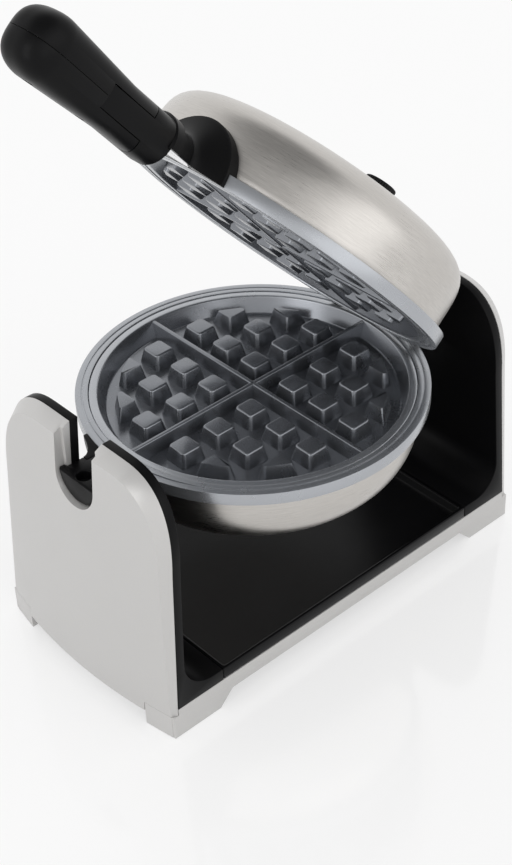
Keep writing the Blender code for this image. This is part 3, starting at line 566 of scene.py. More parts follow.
def slotCutters():
    top, depth = stand["height"] + overrun, 4 * overrun
    step = ironCentre.x - stand["slotStep"]
    tools = []
    for radius, centre in ((stand["slotWaist"], step), (stand["slotRadius"], step - depth / 2)):
        bed = arc((0, ironCentre.z), radius, pi, tau, 40)
        tool = slab("slotCutter", [(radius, top), (-radius, top)] + bed, depth)
        seat(tool, axes((0, 1, 0), (0, 0, 1), (centre, 0, 0)))
        tools.append(tool)
    return tools


def makeCover(name, side):
    rows, columns = stand["rows"], stand["columns"]
    rims = [rimPoint(side, k) for k in range(rows + 1)]
    feet = [archPoint(k, 0, stand["coverBottom"]) for k in range(rows + 1)]
    piece = begin(name, bpy.ops.mesh.primitive_grid_add, x_subdivisions=columns, y_subdivisions=rows,
                  size=2)

    def bowed(co):
        k = round((co.y + 1) / 2 * rows)
        y, z = rims[k][0] * co.x, rims[k][1]
        return Vector((coverX(side, y, z), y, z))

    selectAll()
    pull(bowed)
    bpy.ops.mesh.select_mode(type="EDGE")
    pick("EDGE", lambda edge: edge.is_boundary)
    extrude()

    def seated(co):
        k = min(range(rows + 1), key=lambda n: abs(rims[n][1] - co.z) + abs(rims[n][0] - abs(co.y)) * (n > 0))
        for row, near in ((0, seatGap), (rows, seatGap / 10)):
            if abs(co.z - rims[row][1]) < near:
                return Vector((seatX(side, feet[row][1]), feet[row][0] * co.y / rims[row][0], feet[row][1]))
        y, z = feet[k]
        return Vector((seatX(side, z), y if co.y > 0 else -y, z))

    pull(seated)
    bpy.ops.mesh.edge_face_add()
    faceOut()
    for facing in signs:
        near, far = facing * (halfDepth - stand["footReturn"] - seatGap), facing * (halfDepth + overrun)
        reach = signs[side] * (stand["coverReaches"][side] + 2 * overrun)
        low = (min(0, reach), min(near, far), -overrun)
        high = (max(0, reach), max(near, far), stand["footStep"])
        carve(piece, block("footRoom", low, high))
    return piece


def makeLiner(name, side):
    sign = signs[side]
    low, high = stand["linerBottom"], stand["height"] + overrun
    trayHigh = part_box("drip_tray")[1]
    bend = trayHigh.z + stand["linerFillet"]
    wall = seatX(side, bend) - sign * stand["linerWall"]
    turnFrom = pi if side == 0 else 0
    sweep = arc((wall - sign * stand["linerFillet"], bend), stand["linerFillet"], turnFrom,
                turnFrom - sign * pi / 2, 20)
    stub = sign * (trayHigh.x + seatGap)
    profile = [(seatX(side, low) - sign * seatGap, low), (seatX(side, high) - sign * seatGap, high),
               (seatX(side, high) - sign * stand["linerWall"], high)]
    profile += sweep + [(stub, trayHigh.z), (stub, low)]
    piece = slab(name, profile, stand["depth"] + 2 * overrun)
    seat(piece, axes((1, 0, 0), (0, 0, 1)))
    arch = slab("arch", archOutline(low), 5 * stand["depth"])
    seat(arch, axes((0, 1, 0), (0, 0, 1)))
    carve(piece, arch, operation="INTERSECT")
    return piece


def makeStand():
    leftCover, leftLiner = makeCover("leftCover", 0), makeLiner("leftLiner", 0)
    for piece in (leftCover, leftLiner):
        carve(piece, *slotCutters())
    rightCover, rightLiner = makeCover("rightCover", 1), makeLiner("rightLiner", 1)
    level = ironCentre.z
    bushLow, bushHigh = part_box("axle_bush")
    boss = bar("boss", stand["bossRadius"], (bushLow.x + bush["flange"] + seatGap, 0, level),
               (seatX(1, level) - stand["linerWall"] / 2, 0, level), 96)
    carve(rightLiner, boss, operation="UNION")
    carve(rightLiner, bar("bore", bush["barrel"] + seatGap, (bushLow.x - overrun, 0, level),
                          (bushHigh.x + overrun, 0, level), 64))
    low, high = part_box("cord_gland")
    y, z = (low.y + high.y) / 2, (low.z + high.z) / 2
    carve(rightCover, bar("glandHole", (high.y - low.y) / 2 + seatGap, (low.x - overrun, y, z),
                          (high.x + overrun, y, z)))
    for piece, look, node in (
            (leftCover, "silverPaint", "left_cover"), (rightCover, "silverPaint", "right_cover"),
            (leftLiner, "blackPlastic", "left_liner"), (rightLiner, "blackPlastic", "right_liner")):
        soften(piece, stand["edge"])
        finish(piece, "base", look, node)


def cadCopy(node, name, angle=1.5):
    # A copy of a plain piece, merged and with its flat faces made whole, ready for its edges
    piece = copied(frame["nodes"][node], name)
    piece.parent = None
    piece.hide_render = piece.hide_viewport = False
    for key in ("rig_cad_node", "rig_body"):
        if key in piece:
            del piece[key]
    edit(piece)
    bpy.ops.mesh.remove_doubles(threshold=seatGap / 30)
    bpy.ops.mesh.dissolve_limited(angle_limit=radians(angle))
    leave()
    return piece


def makeRails():
    for node, name, look, edge in (
            ("front_skirt", "frontRail", "silverPaint", (stand["edge"], 3)),
            ("back_skirt", "backRail", "silverPaint", (stand["edge"], 3)),
            ("base_pan", "basePan", "blackPlastic", (stand["panEdge"], 2)),
            ("bottom_plate", "bottomPlate", "blackPlastic", (stand["panEdge"], 2))):
        piece = cadCopy(node, name)
        soften(piece, *edge, angle=40)
        finish(piece, "base", look, node)


trayForm = {"edge": 0.0010, "floor": 0.0022, "floorScale": (0.9872, 0.9824, 1)}


def makeTray():
    piece = cadCopy("drip_tray", "dripTray")
    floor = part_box("drip_tray")[0].z + trayForm["floor"]
    edit(piece)
    pick("FACE", lambda face: abs(middle(face).z - floor) < seatGap and face.normal.z > 0.5)
    bpy.ops.transform.resize(value=trayForm["floorScale"])
    leave()
    soften(piece, trayForm["edge"], 3, 40)
    finish(piece, "drip_tray", "blackGloss", "drip_tray")


makeStand()
makeRails()
makeTray()
print("stand made")


# Iron

def domeHeight(radius, reach, rise, powers):
    return rise * max(0, 1 - (radius / reach) ** powers[0]) ** (1 / powers[1])


def domeCurve(reach, rise, powers, rows):
    # From the crown out to the rim, with the points evenly spread along the curve
    base = iron["ringHeight"] + seatGap
    steps = iron["fineSteps"]
    fine = [reach * sin(k / steps * pi / 2) for k in range(steps + 1)]
    curve = [Vector((radius, base + domeHeight(radius, reach, rise, powers))) for radius in fine]
    lengths = [0]
    for here, there in zip(curve, curve[1:]):
        lengths.append(lengths[-1] + (there - here).length)
    points, k = [], 0
    for row in range(rows + 1):
        goal = lengths[-1] * row / rows
        while k < len(lengths) - 2 and lengths[k + 1] < goal:
            k += 1
        share = (goal - lengths[k]) / max(lengths[k + 1] - lengths[k], 1e-9)
        points.append(tuple(curve[k].lerp(curve[k + 1], min(max(share, 0), 1))))
    points[0] = (0, points[0][1])
    return points


def domeRoom(half):
    # The space that a half's ring and dome take up, a hair larger
    clear = iron["ringRadius"] + seatGap
    room = domeCurve(iron["domeRadius"] + seatGap, half["rise"] + seatGap, half["powers"],
                     iron["roomRows"])
    room += [(clear, iron["ringHeight"] + seatGap), (clear, -overrun), (0, -overrun)]
    return turned("domeRoom", room, 128)


def makeDome(half):
    reach, rise, wall = iron["domeRadius"], half["rise"], iron["domeWall"]
    outer = domeCurve(reach, rise, half["powers"], iron["domeRows"])
    inner = domeCurve(reach - wall, rise - wall, half["powers"], iron["innerRows"])
    piece = turned(half["name"] + "Dome", outer + inner[::-1], iron["steps"])
    soften(piece, iron["domeEdge"], 2, 50)
    seat(piece, half["place"])
    finish(piece, half["body"], half["name"] + "Steel", half["name"] + "_dome", sharp=40)


ringForm = {
    "groove": 0.0012,
    "grooveDepth": 0.0007,
    "grooveRadius": 0.1134,
    "ledge": 0.1063,
    "flangeSeat": 0.0035,
    "edge": 0.0008,
}


def makeRing(half):
    form, outer, inner, top = ringForm, iron["ringRadius"], iron["ringInner"], iron["ringHeight"]
    near, far = (form["grooveRadius"] + sign * form["groove"] / 2 for sign in signs)
    deep = partLine + form["grooveDepth"]
    profile = [(outer, partLine), (outer, top), (form["ledge"], top), (form["ledge"], form["flangeSeat"]),
               (inner, form["flangeSeat"]), (inner, partLine), (near, partLine), (near, deep), (far, deep),
               (far, partLine)]
    piece = turned(half["name"] + "Ring", profile, iron["steps"], closed=True)
    edit(piece)
    bpy.ops.mesh.bisect(plane_co=(iron["flatReach"], 0, 0), plane_no=(1, 0, 0),
                        clear_outer=True, use_fill=True)
    leave()
    soften(piece, form["edge"], 3, 40)
    seat(piece, half["place"])
    finish(piece, half["body"], "ringGrey", half["name"] + "_ring", sharp=40)


plateForm = {
    "drop": 0.0006,
    "flange": 0.0026,
    "wall": 0.0024,
    "rimRadius": 0.1092,
    "cavityRadius": 0.1036,
    "floorRadius": 0.0984,
    "depth": 0.0115,
    "lugFirst": 0.0190,
    "lugPitch": 0.0283,
    "lugBase": 0.0200,
    "lugTip": 0.0150,
    "lugHeight": 0.0108,
    "lugCorner": 0.0028,
    "lugEdge": 0.0012,
    "lugLimit": 0.0924,
    "lugRows": 3,
    "ridgeBase": 0.0060,
    "ridgeTip": 0.0030,
    "ridgeEdge": 0.00084,
    "edge": 0.0009,
}


def roundTip(tip, width, segments):
    # Rounds the edges of a lug's or a ridge's top, and leaves the piece
    pick("EDGE", lambda edge: max(vertex.co.z for vertex in edge.verts) < tip + seatGap)
    bpy.ops.mesh.bevel(offset=width, segments=segments, affect="EDGES", clamp_overlap=True)
    leave()


def makeLug(x, y):
    form = plateForm
    floor = form["drop"] + form["depth"]
    root, tip = floor + form["wall"] / 2, floor - form["lugHeight"]
    piece = block("lug", (x - form["lugBase"] / 2, y - form["lugBase"] / 2, tip),
                  (x + form["lugBase"] / 2, y + form["lugBase"] / 2, root))
    edit(piece)
    pick("FACE", lambda face: face.normal.z < -0.5)
    share = form["lugTip"] / form["lugBase"]
    bpy.ops.transform.resize(value=(share, share, 1), center_override=(x, y, tip))
    if sqrt(x * x + y * y) > form["lugLimit"] - form["lugBase"] / 2:
        outward = Vector((x, y, 0)).normalized()
        draft = (form["lugBase"] - form["lugTip"]) / 2 / (root - tip)
        selectAll()
        bpy.ops.mesh.bisect(plane_co=outward * form["lugLimit"] + Vector((0, 0, root)),
                            plane_no=(outward.x, outward.y, -draft), clear_outer=True, use_fill=True)
    pick("EDGE", lambda edge: abs(edge.verts[0].co.z - edge.verts[1].co.z) > form["lugHeight"] / 2)
    bpy.ops.mesh.bevel(offset=form["lugCorner"], segments=5, affect="EDGES", clamp_overlap=True)
    roundTip(tip, form["lugEdge"], 4)
    return piece


def makeRidge(name):
    form = plateForm
    floor = form["drop"] + form["depth"]
    root, tip = floor + form["wall"] / 2, floor - form["lugHeight"]
    reach = form["floorRadius"] + form["wall"] / 2
    piece = block(name, (-reach, -form["ridgeBase"] / 2, tip), (reach, form["ridgeBase"] / 2, root))
    edit(piece)
    pick("FACE", lambda face: face.normal.z < -0.5)
    spread = (form["cavityRadius"] + form["wall"] / 4) / reach
    bpy.ops.transform.resize(value=(spread, form["ridgeTip"] / form["ridgeBase"], 1),
                             center_override=(0, 0, tip))
    roundTip(tip, form["ridgeEdge"], 3)
    return piece


def quarterTurned(piece, quarters):
    twin = copied(piece, piece.name)
    seat(twin, Matrix.Rotation(quarters * pi / 2, 4, "Z"))
    return twin


def makePlate(half):
    form = plateForm
    back, floor, wall = form["drop"] + form["flange"], form["drop"] + form["depth"], form["wall"]
    profile = [(0, floor + wall), (form["floorRadius"] + wall, floor + wall),
               (form["cavityRadius"] + wall, back), (form["rimRadius"], back),
               (form["rimRadius"], form["drop"]), (form["cavityRadius"], form["drop"]),
               (form["floorRadius"], floor), (0, floor)]
    piece = turned(half["name"] + "Plate", profile, iron["steps"])
    soften(piece, form["edge"], 3, 30)
    rows = range(form["lugRows"])
    spots = [form["lugFirst"] + k * form["lugPitch"] for k in rows]
    lugs = joined("lugs", [makeLug(spots[i], spots[j]) for i in rows for j in rows if i + j < rows[-1] * 2])
    ridge = makeRidge("ridge")
    parts = [piece, lugs] + [quarterTurned(lugs, k) for k in (1, 2, 3)] + [ridge, quarterTurned(ridge, 1)]
    piece = joined(half["name"] + "Plate", parts)
    seat(piece, half["place"])
    finish(piece, half["body"], half["name"] + "Nonstick", half["name"] + "_plate", sharp=40)


for make in (makeDome, makeRing, makePlate):
    for half in halves:
        make(half)
print("iron made")


# Handle side. Each half has a boot and half of the journal that drops into the slot.

handleForm = {
    "bootRadius": 0.0330,
    "bootStart": 0.1000,
    "bootShoulder": 0.1165,
    "bootEnd": 0.1300,
    "bootEdge": 0.0016,
    "neckRadius": 0.0155,
    "spigotRadius": 0.0115,
    "spigotLength": 0.0090,
    "journalRadius": 0.0183,
    "journalStart": 0.1431,
    "journalEnd": 0.1485,
    "journalChamfer": 0.0015,
    "pegReach": 0.1415,
    "pegRadius": 0.0045,
    "pegLength": 0.0050,
    "socketRadius": 0.0052,
    "socketDepth": 0.0070,
    "stripStart": 0.1200,
    "stripEnd": 0.1470,
    "stripHalfWidth": 0.0140,
    "stripWall": 0.0016,
    "flareRows": 20,
    "steps": 96,
    "edge": 0.0006,
}
grip = {
    "start": 0.1525,
    "fold": 0.1900,
    "shoulder": 0.2540,
    "end": 0.2740,
    "nearHalf": (0.0165, 0.0160),
    "farHalf": (0.0195, 0.0200),
    "power": 2.8,
    "earRadius": 0.0229,
    "tongueRadius": 0.0280,
    "tongueHalf": 0.0073,
    "knuckleGap": 0.0005,
    "pinRadius": 0.0044,
    "pinHalf": 0.0118,
    "screwReaches": (0.2060, 0.2500),
    "screwRadius": 0.0030,
    "screwHead": 0.0025,
    "screwRecess": 0.0060,
    "sectionSteps": 96,
    "tipSteps": 14,
    "tipAngle": radians(88),
    "edge": 0.0007,
}


def belowParting(reach):
    # The space on a half's far side of the parting plane
    side = 2 * handleForm["bootRadius"]
    return block("otherSide", (-reach, -side, -side), (0, side, partLine))


def stripRoom(gap):
    form = handleForm
    wide, top = form["stripHalfWidth"] + gap, partLine + form["stripWall"] + gap
    return block("stripRoom", (-form["stripEnd"] - gap, -wide, -overrun),
                 (-form["stripStart"] + gap, wide, top))


def finishBlack(piece, body, node):
    finish(piece, body, "blackPlastic", node, sharp=42)


def makeBoot(half):
    form, rows = handleForm, handleForm["flareRows"]
    neck, far = form["neckRadius"], form["bootEnd"] + overrun
    swell, run = form["bootRadius"] - neck, form["bootEnd"] - form["bootShoulder"]
    flare = [(neck + swell * (1 - k / rows) ** 2, form["bootShoulder"] + run * k / rows)
             for k in range(rows + 1)]
    profile = [(0, form["bootStart"]), (form["bootRadius"], form["bootStart"]), *flare,
               (0, form["bootEnd"])]
    piece = turned(half["name"] + "Boot", profile, form["steps"])
    seat(piece, alongHandle)
    bore = bar("bore", form["spigotRadius"] + seatGap, (-far, 0, 0),
               (-form["bootEnd"] + form["spigotLength"] + seatGap, 0, 0))
    carve(piece, domeRoom(half), belowParting(far), bore)
    if half is upper:
        carve(piece, stripRoom(seatGap))
    soften(piece, form["bootEdge"], 4, 40)
    seat(piece, half["place"])
    finishBlack(piece, half["body"], half["name"] + "_boot")


def journalPiece(name, end, half):
    form = handleForm
    spigot, shoulder = form["bootEnd"] - form["spigotLength"], form["bootEnd"] + seatGap
    start = form["journalStart"]
    inner, neck, outer, chamfer = (form[key] for key in ("spigotRadius", "neckRadius", "journalRadius",
                                                         "journalChamfer"))
    profile = [(0, spigot), (inner, spigot), (inner, shoulder), (neck, shoulder), (neck, start),
               (outer, start), (outer, end - chamfer), (outer - chamfer, end), (0, end)]
    piece = turned(name, profile, form["steps"])
    seat(piece, alongHandle)
    carve(piece, domeRoom(half), belowParting(end + overrun))
    return piece


def makeJournal():
    form = handleForm
    piece = journalPiece("lowerJournal", form["journalEnd"] - seatGap, lower)
    carve(piece, bar("socket", form["socketRadius"], (-form["pegReach"], 0, -overrun),
                     (-form["pegReach"], 0, form["socketDepth"])))
    soften(piece, form["edge"], 3, 40)
    seat(piece, lowerHalf)
    finishBlack(piece, "rotor", "lower_journal")


def gripHalf(reach):
    # Half the width and half the height of the handle at a distance from the iron's middle
    share = (reach - grip["fold"]) / (grip["shoulder"] - grip["fold"])
    share = min(max(share, 0), 1)
    near, far = grip["nearHalf"], grip["farHalf"]
    return near[0] + (far[0] - near[0]) * share, near[1] + (far[1] - near[1]) * share


def squircle(name, sections):
    # A bar along -X with a rounded, nearly square section, drawn out through its sections
    steps, power = grip["sectionSteps"], 2 / grip["power"]
    piece = begin(name, bpy.ops.mesh.primitive_circle_add, vertices=steps, radius=1, fill_type="NGON")
    reach, width, height = sections[0]

    def first(co):
        across, up = abs(co.x) ** power, abs(co.y) ** power
        return Vector((-reach, width * (across if co.x > 0 else -across), height * (up if co.y > 0 else -up)))

    pull(first)
    for reach, nextWidth, nextHeight in sections[1:]:
        extrude()
        wider, taller = nextWidth / width, nextHeight / height
        pull(lambda co: Vector((-reach, co.y * wider, co.z * taller)))
        width, height = nextWidth, nextHeight
    faceOut()
    return piece


def knuckleSlab(name, radius, start, end, far, wide, depth, level=0):
    # A flat tool bounded by an arc about the fold pin
    fold = -grip["fold"]
    points = arc((fold, 0), radius, start, end, 40) + [(far, -wide), (far, wide)]
    piece = slab(name, points, depth)
    seat(piece, Matrix.Translation((0, 0, level)))
    return piece


def makeNeck():
    form = handleForm
    piece = journalPiece("handleNeck", grip["start"] - seatGap, upper)
    carve(piece, stripRoom(seatGap))
    peg = bar("peg", form["pegRadius"], (-form["pegReach"], 0, -form["pegLength"]),
              (-form["pegReach"], 0, form["journalRadius"] / 2))
    shaft = bar("shaft", form["neckRadius"], (-form["journalEnd"] - seatGap, 0, 0),
                (-grip["start"] - seatGap, 0, 0), form["steps"])
    carve(piece, peg, shaft, operation="UNION")
    fold, tongue, recess = -grip["fold"], grip["tongueRadius"], grip["earRadius"] + grip["knuckleGap"]
    solid = squircle("neckBlock", [(grip["start"], *grip["nearHalf"]), (tongue - fold, *grip["nearHalf"])])
    far, wide = fold - tongue - overrun, tongue + overrun
    for up in signs:
        carve(solid, knuckleSlab("earRoom", recess, pi / 2, -pi / 2, far, recess, 2 * overrun,
                                 up * (grip["tongueHalf"] + overrun)))
    end = arc((fold, 0), tongue, pi / 2, 3 * pi / 2, 48)
    beyond = slab("tongueEnd", [(fold, wide), *end, (fold, -wide), (far, -wide), (far, wide)],
                  4 * grip["tongueHalf"])
    carve(solid, beyond, bar("foldBore", grip["pinRadius"], (fold, 0, -overrun), (fold, 0, overrun)))
    soften(solid, grip["edge"], 3, 40)
    carve(piece, solid, operation="UNION")
    seat(piece, upperHalf)
    finishBlack(piece, "lid", "handle_neck")


def makeStrip():
    form = handleForm
    strip = stripRoom(0)
    carve(strip, block("under", (-1, -1, -1), (1, 1, partLine)),
          bar("pegHole", form["pegRadius"] + seatGap, (-form["pegReach"], 0, -overrun),
              (-form["pegReach"], 0, overrun)))
    soften(strip, form["edge"] / 2, 2, 40)
    seat(strip, upperHalf)
    strip.name = strip.data.name = "neckStrip"
    finish(strip, "lid", "brightTrim", "neck_plate")


def makeGrips():
    sections = [(reach, *gripHalf(reach)) for reach in
                (grip["fold"] - grip["earRadius"] - grip["knuckleGap"], grip["fold"], grip["shoulder"])]
    width, height = gripHalf(grip["shoulder"])
    for k in range(1, grip["tipSteps"] + 1):
        angle = grip["tipAngle"] * k / grip["tipSteps"]
        swell = cos(angle) ** (2 / grip["power"])
        sections.append((grip["shoulder"] + (grip["end"] - grip["shoulder"]) * sin(angle), width * swell,
                         height * swell))
    fold, wide = -grip["fold"], 2 * grip["farHalf"][0]
    near = fold + 2 * grip["earRadius"]
    tongueRoom = grip["tongueRadius"] + grip["knuckleGap"]
    for name, node, up in (("upperGrip", "upper_grip", 1), ("lowerGrip", "lower_grip", -1)):
        piece = squircle(name, sections)
        low, high = sorted((-up * wide, up * partLine))
        carve(piece, block("otherSide", (-grip["end"] - overrun, -wide, low), (0, wide, high)))
        earEnd = arc((fold, 0), grip["earRadius"], pi / 2, -pi / 2, 48)
        carve(piece, slab("earEnds", [(fold, wide), *earEnd, (fold, -wide), (near, -wide), (near, wide)],
                          2 * wide))
        blind = arc((fold, 0), tongueRoom, pi / 2, 3 * pi / 2, 48)
        beyond = fold + tongueRoom
        carve(piece, slab("tongueRoom", [*blind, (beyond, -tongueRoom), (beyond, tongueRoom)],
                          2 * (grip["tongueHalf"] + grip["knuckleGap"])))
        carve(piece, bar("pinBore", grip["pinRadius"], (fold, 0, -grip["pinHalf"]),
                         (fold, 0, grip["pinHalf"])))
        if up < 0:
            for reach in grip["screwReaches"]:
                under = -gripHalf(reach)[1]
                carve(piece, bar("screwRecess", grip["screwRadius"] + seatGap, (-reach, 0, under - overrun),
                                 (-reach, 0, under + grip["screwRecess"])))
        soften(piece, grip["edge"], 3, 38)
        seat(piece, upperHalf)
        finishBlack(piece, "handle", node)


screwShares = {"rim": 0.35, "face": 0.72, "arm": 0.16, "reach": 0.58, "recess": 0.45}


def makeScrew(name, radius, depth, place, body, node):
    # A screw head with a cross recess in the face that looks down its own -Z
    share = screwShares
    profile = [(0, depth), (radius, depth), (radius, depth * share["rim"]), (radius * share["face"], 0),
               (0, 0)]
    piece = turned(name, profile, 40)
    arm, reach = radius * share["arm"], radius * share["reach"]
    for turn in (0, pi / 2):
        tool = block("recess", (-reach, -arm, -overrun), (reach, arm, depth * share["recess"]))
        seat(tool, Matrix.Rotation(turn, 4, "Z"))
        carve(piece, tool)
    seat(piece, place)
    finish(piece, body, "darkSteel", node)


def makeScrews():
    for number, reach in enumerate(grip["screwReaches"], 1):
        low = -gripHalf(reach)[1] + grip["screwRecess"] - seatGap - grip["screwHead"]
        makeScrew(f"gripScrew{number}", grip["screwRadius"], grip["screwHead"],
                  upperHalf @ Matrix.Translation((-reach, 0, low)), "handle", f"grip_screw_{number}")
    for number in range(1, 5):
        low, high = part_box(f"base_screw_{number}")
        spot = Vector(((low.x + high.x) / 2, (low.y + high.y) / 2, low.z))
        makeScrew(f"baseScrew{number}", (high.x - low.x) / 2, high.z - low.z, Matrix.Translation(spot),
                  "base", f"base_screw_{number}")


makeBoot(lower)
makeBoot(upper)
makeJournal()
makeNeck()
makeStrip()
makeGrips()
makeScrews()
print("handle side made")


# Hinge side

hingeForm = {
    "reach": 0.1100,
    "rise": 0.0150,
    "yokeInner": 0.1128,
    "yokeOuter": 0.1260,
    "yokeHalfWidth": 0.0340,
    "yokeTop": 0.0050,
    "yokeBottom": 0.0200,
    "wingTop": -0.0050,
    "earInner": 0.0360,
    "earOuter": 0.0410,
    "earLegInner": 0.1143,
    "earLegOuter": 0.1225,
    "eyeRadius": 0.0040,
    "earThroat": 0.0015,
    "neckRadius": 0.0112,
    "neckEnd": 0.1444,
    "socketDepth": 0.0137,
    "saddleOuter": 0.1150,
    "saddleHalfWidth": 0.0355,
    "saddleBottom": 0.0105,
    "saddleTop": 0.0300,
    "pinRadius": 0.0020,
    "pinClearance": 0.0004,
    "pinHeadRadius": 0.0034,
    "pinHead": 0.0012,
    "pinTop": 0.8,                                  # the head's flat, as a share of its radius
    "pinSide": 0.6,                                 # and its upright edge, as a share of its height
    "pinInner": 0.0298,
    "ease": 0.0002,
    "edge": 0.0008,
}


def hingeBore(radius):
    form = hingeForm
    return bar("hingeBore", radius, (form["reach"], -form["earOuter"] - overrun, form["rise"]),
               (form["reach"], form["earOuter"] + overrun, form["rise"]))


def makeYoke():
    form = hingeForm
    piece = block("hingeYoke", (form["yokeInner"], -form["yokeHalfWidth"], -form["yokeBottom"]),
                  (form["yokeOuter"], form["yokeHalfWidth"], form["yokeTop"]))
    wingEnd, legInner = form["earOuter"] - form["ease"], form["earLegInner"] + form["ease"]
    wing = block("wing", (form["earLegInner"], -wingEnd, -form["yokeBottom"]),
                 (form["yokeOuter"], wingEnd, form["wingTop"]))
    carve(piece, wing, operation="UNION")
    eye = arc((form["reach"], form["rise"]), form["eyeRadius"], pi / 2, 3 * pi / 2, 24)
    throat = form["rise"] - form["eyeRadius"]
    leg = [(legInner, throat - form["earThroat"]), (legInner, -form["yokeBottom"]),
           (form["earLegOuter"], -form["yokeBottom"]), (form["earLegOuter"], throat)]
    for sign in signs:
        ear = slab("ear", eye + leg, form["earOuter"] - form["earInner"])
        seat(ear, axes((1, 0, 0), (0, 0, 1), (0, sign * (form["earInner"] + form["earOuter"]) / 2, 0)))
        carve(piece, ear, operation="UNION")
    neck = bar("neck", form["neckRadius"], (form["yokeInner"] + form["neckRadius"], 0, 0),
               (form["neckEnd"], 0, 0), 72)
    carve(piece, neck, operation="UNION")
    carve(piece, bar("socket", axle["radius"] + seatGap, (form["neckEnd"] - form["socketDepth"], 0, 0),
                     (form["neckEnd"] + overrun, 0, 0), 48), hingeBore(form["pinRadius"] + seatGap))
    soften(piece, form["edge"], 3, 40)
    seat(piece, rotorPlace)
    finishBlack(piece, "rotor", "hinge_yoke")


def makeSaddle():
    form = hingeForm
    piece = block("hingeBracket", (form["reach"] - overrun, -form["saddleHalfWidth"], form["saddleBottom"]),
                  (form["saddleOuter"], form["saddleHalfWidth"], form["saddleTop"]))
    carve(piece, domeRoom(upper))
    soften(piece, form["edge"], 3, 40)
    carve(piece, hingeBore(form["pinRadius"] + form["pinClearance"]))
    seat(piece, upperHalf)
    finish(piece, "lid", "darkSteel", "hinge_bracket", sharp=42)


def makePins():
    form = hingeForm
    head = form["earOuter"] + seatGap
    radius, wide, tall = form["pinRadius"], form["pinHeadRadius"], form["pinHead"]
    profile = [(0, head + tall), (wide * form["pinTop"], head + tall), (wide, head + tall * form["pinSide"]),
               (wide, head), (radius, head), (radius, form["pinInner"]), (0, form["pinInner"])]
    for name, node, sign in (("hingePinFront", "hinge_pin_front", -1), ("hingePinBack", "hinge_pin_back", 1)):
        piece = turned(name, profile, 48)
        turn = Vector((0, sign, 0)).to_track_quat("Z", "Y").to_matrix().to_4x4()
        seat(piece, rotorPlace @ Matrix.Translation((form["reach"], 0, form["rise"])) @ turn)
        finish(piece, "rotor", "darkSteel", node)


axle = {"radius": 0.0085, "bore": 0.0045, "collarRadius": 0.0122, "chamfer": 0.0006}
gland = {"bore": 0.0036, "showing": 0.0035, "ribDepth": 0.0007, "ribs": 3, "rows": 12}
padEdge = 0.0010


def alongX(name, profile, steps, centreY, centreZ):
    # Turned about X, with the profile's second values already places along X
    piece = turned(name, profile, steps, closed=True)
    seat(piece, Matrix.Translation((0, centreY, centreZ)) @ alongAxle)
    return piece


def makeSleeve(name, node, bore, radius, slotName):
    low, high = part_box(node)
    chamfer = axle["chamfer"]
    profile = [(bore, low.x), (radius, low.x), (radius, high.x - chamfer), (radius - chamfer, high.x),
               (bore + chamfer, high.x), (bore, high.x - chamfer)]
    piece = alongX(name, profile, 96, 0, ironCentre.z)
    finish(piece, "rotor", "darkSteel", node, slotName=slotName)


def makeBush():
    low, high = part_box("axle_bush")
    bore, edge, flange = axle["radius"] + bush["clearance"], bush["edge"], bush["flangeRadius"]
    step = low.x + bush["flange"]
    profile = [(bore, low.x + edge), (bore + edge, low.x), (flange - edge, low.x), (flange, low.x + edge),
               (flange, step), (bush["barrel"], step), (bush["barrel"], high.x), (bore, high.x)]
    piece = alongX("axleBush", profile, 96, 0, ironCentre.z)
    finish(piece, "base", "bushBrass", "axle_bush")


def makeGland():
    # A moulded rubber gland with soft ribs outside the cover
    form = gland
    low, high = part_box("cord_gland")
    radius, outside, depth = (high.y - low.y) / 2, high.x - form["showing"], form["ribDepth"]
    profile = [(form["bore"], low.x), (radius, low.x), (radius, outside)]
    for k in range(1, form["rows"] + 1):
        share = k / form["rows"]
        rib = depth * (0.5 - 0.5 * cos(tau * form["ribs"] * share)) + depth * (share == 1)
        profile.append((radius - rib, outside + (high.x - outside) * share))
    profile.append((form["bore"], high.x))
    piece = alongX("cordGland", profile, 72, (low.y + high.y) / 2, (low.z + high.z) / 2)
    finish(piece, "base", "softRubber", "cord_gland", sharp=50)


def makePads():
    for number in range(1, 5):
        low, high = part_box(f"foot_pad_{number}")
        radius, tall = (high.x - low.x) / 2, high.z - low.z
        rounding = arc((radius - padEdge, padEdge), padEdge, -pi / 2, 0, 5)
        piece = turned(f"footPad{number}", [(0, 0), *rounding, (radius, tall), (0, tall)], 48)
        seat(piece, Matrix.Translation(((low.x + high.x) / 2, (low.y + high.y) / 2, low.z)))
        finish(piece, "base", "softRubber", f"foot_pad_{number}")


makeYoke()
makeSaddle()
makePins()
makeSleeve("axleTube", "axle", axle["bore"], axle["radius"], "steel")
makeSleeve("axleCollar", "axle_collar", axle["radius"] + seatGap, axle["collarRadius"], "dark_steel")
makeBush()
makeGland()
makePads()
print("hinge side made")


# Browning dial

dialForm = {
    "reach": 0.0510,
    "radius": 0.0130,
    "gripRadius": 0.0116,
    "top": 0.0778,
    "skirt": 0.0030,
    "trimRadius": 0.0150,
    "trimTop": 0.0635,
    "trimBottom": 0.0500,
    "hole": 0.0058,
    "ribs": 36,
    "ribDepth": 0.00045,
    "ribStop": 0.0010,
    "gap": 0.0004,
    "topEdge": 0.0014,
    "dishRim": 0.0030,
    "step": 0.0004,
    "edge": 0.0006,
}


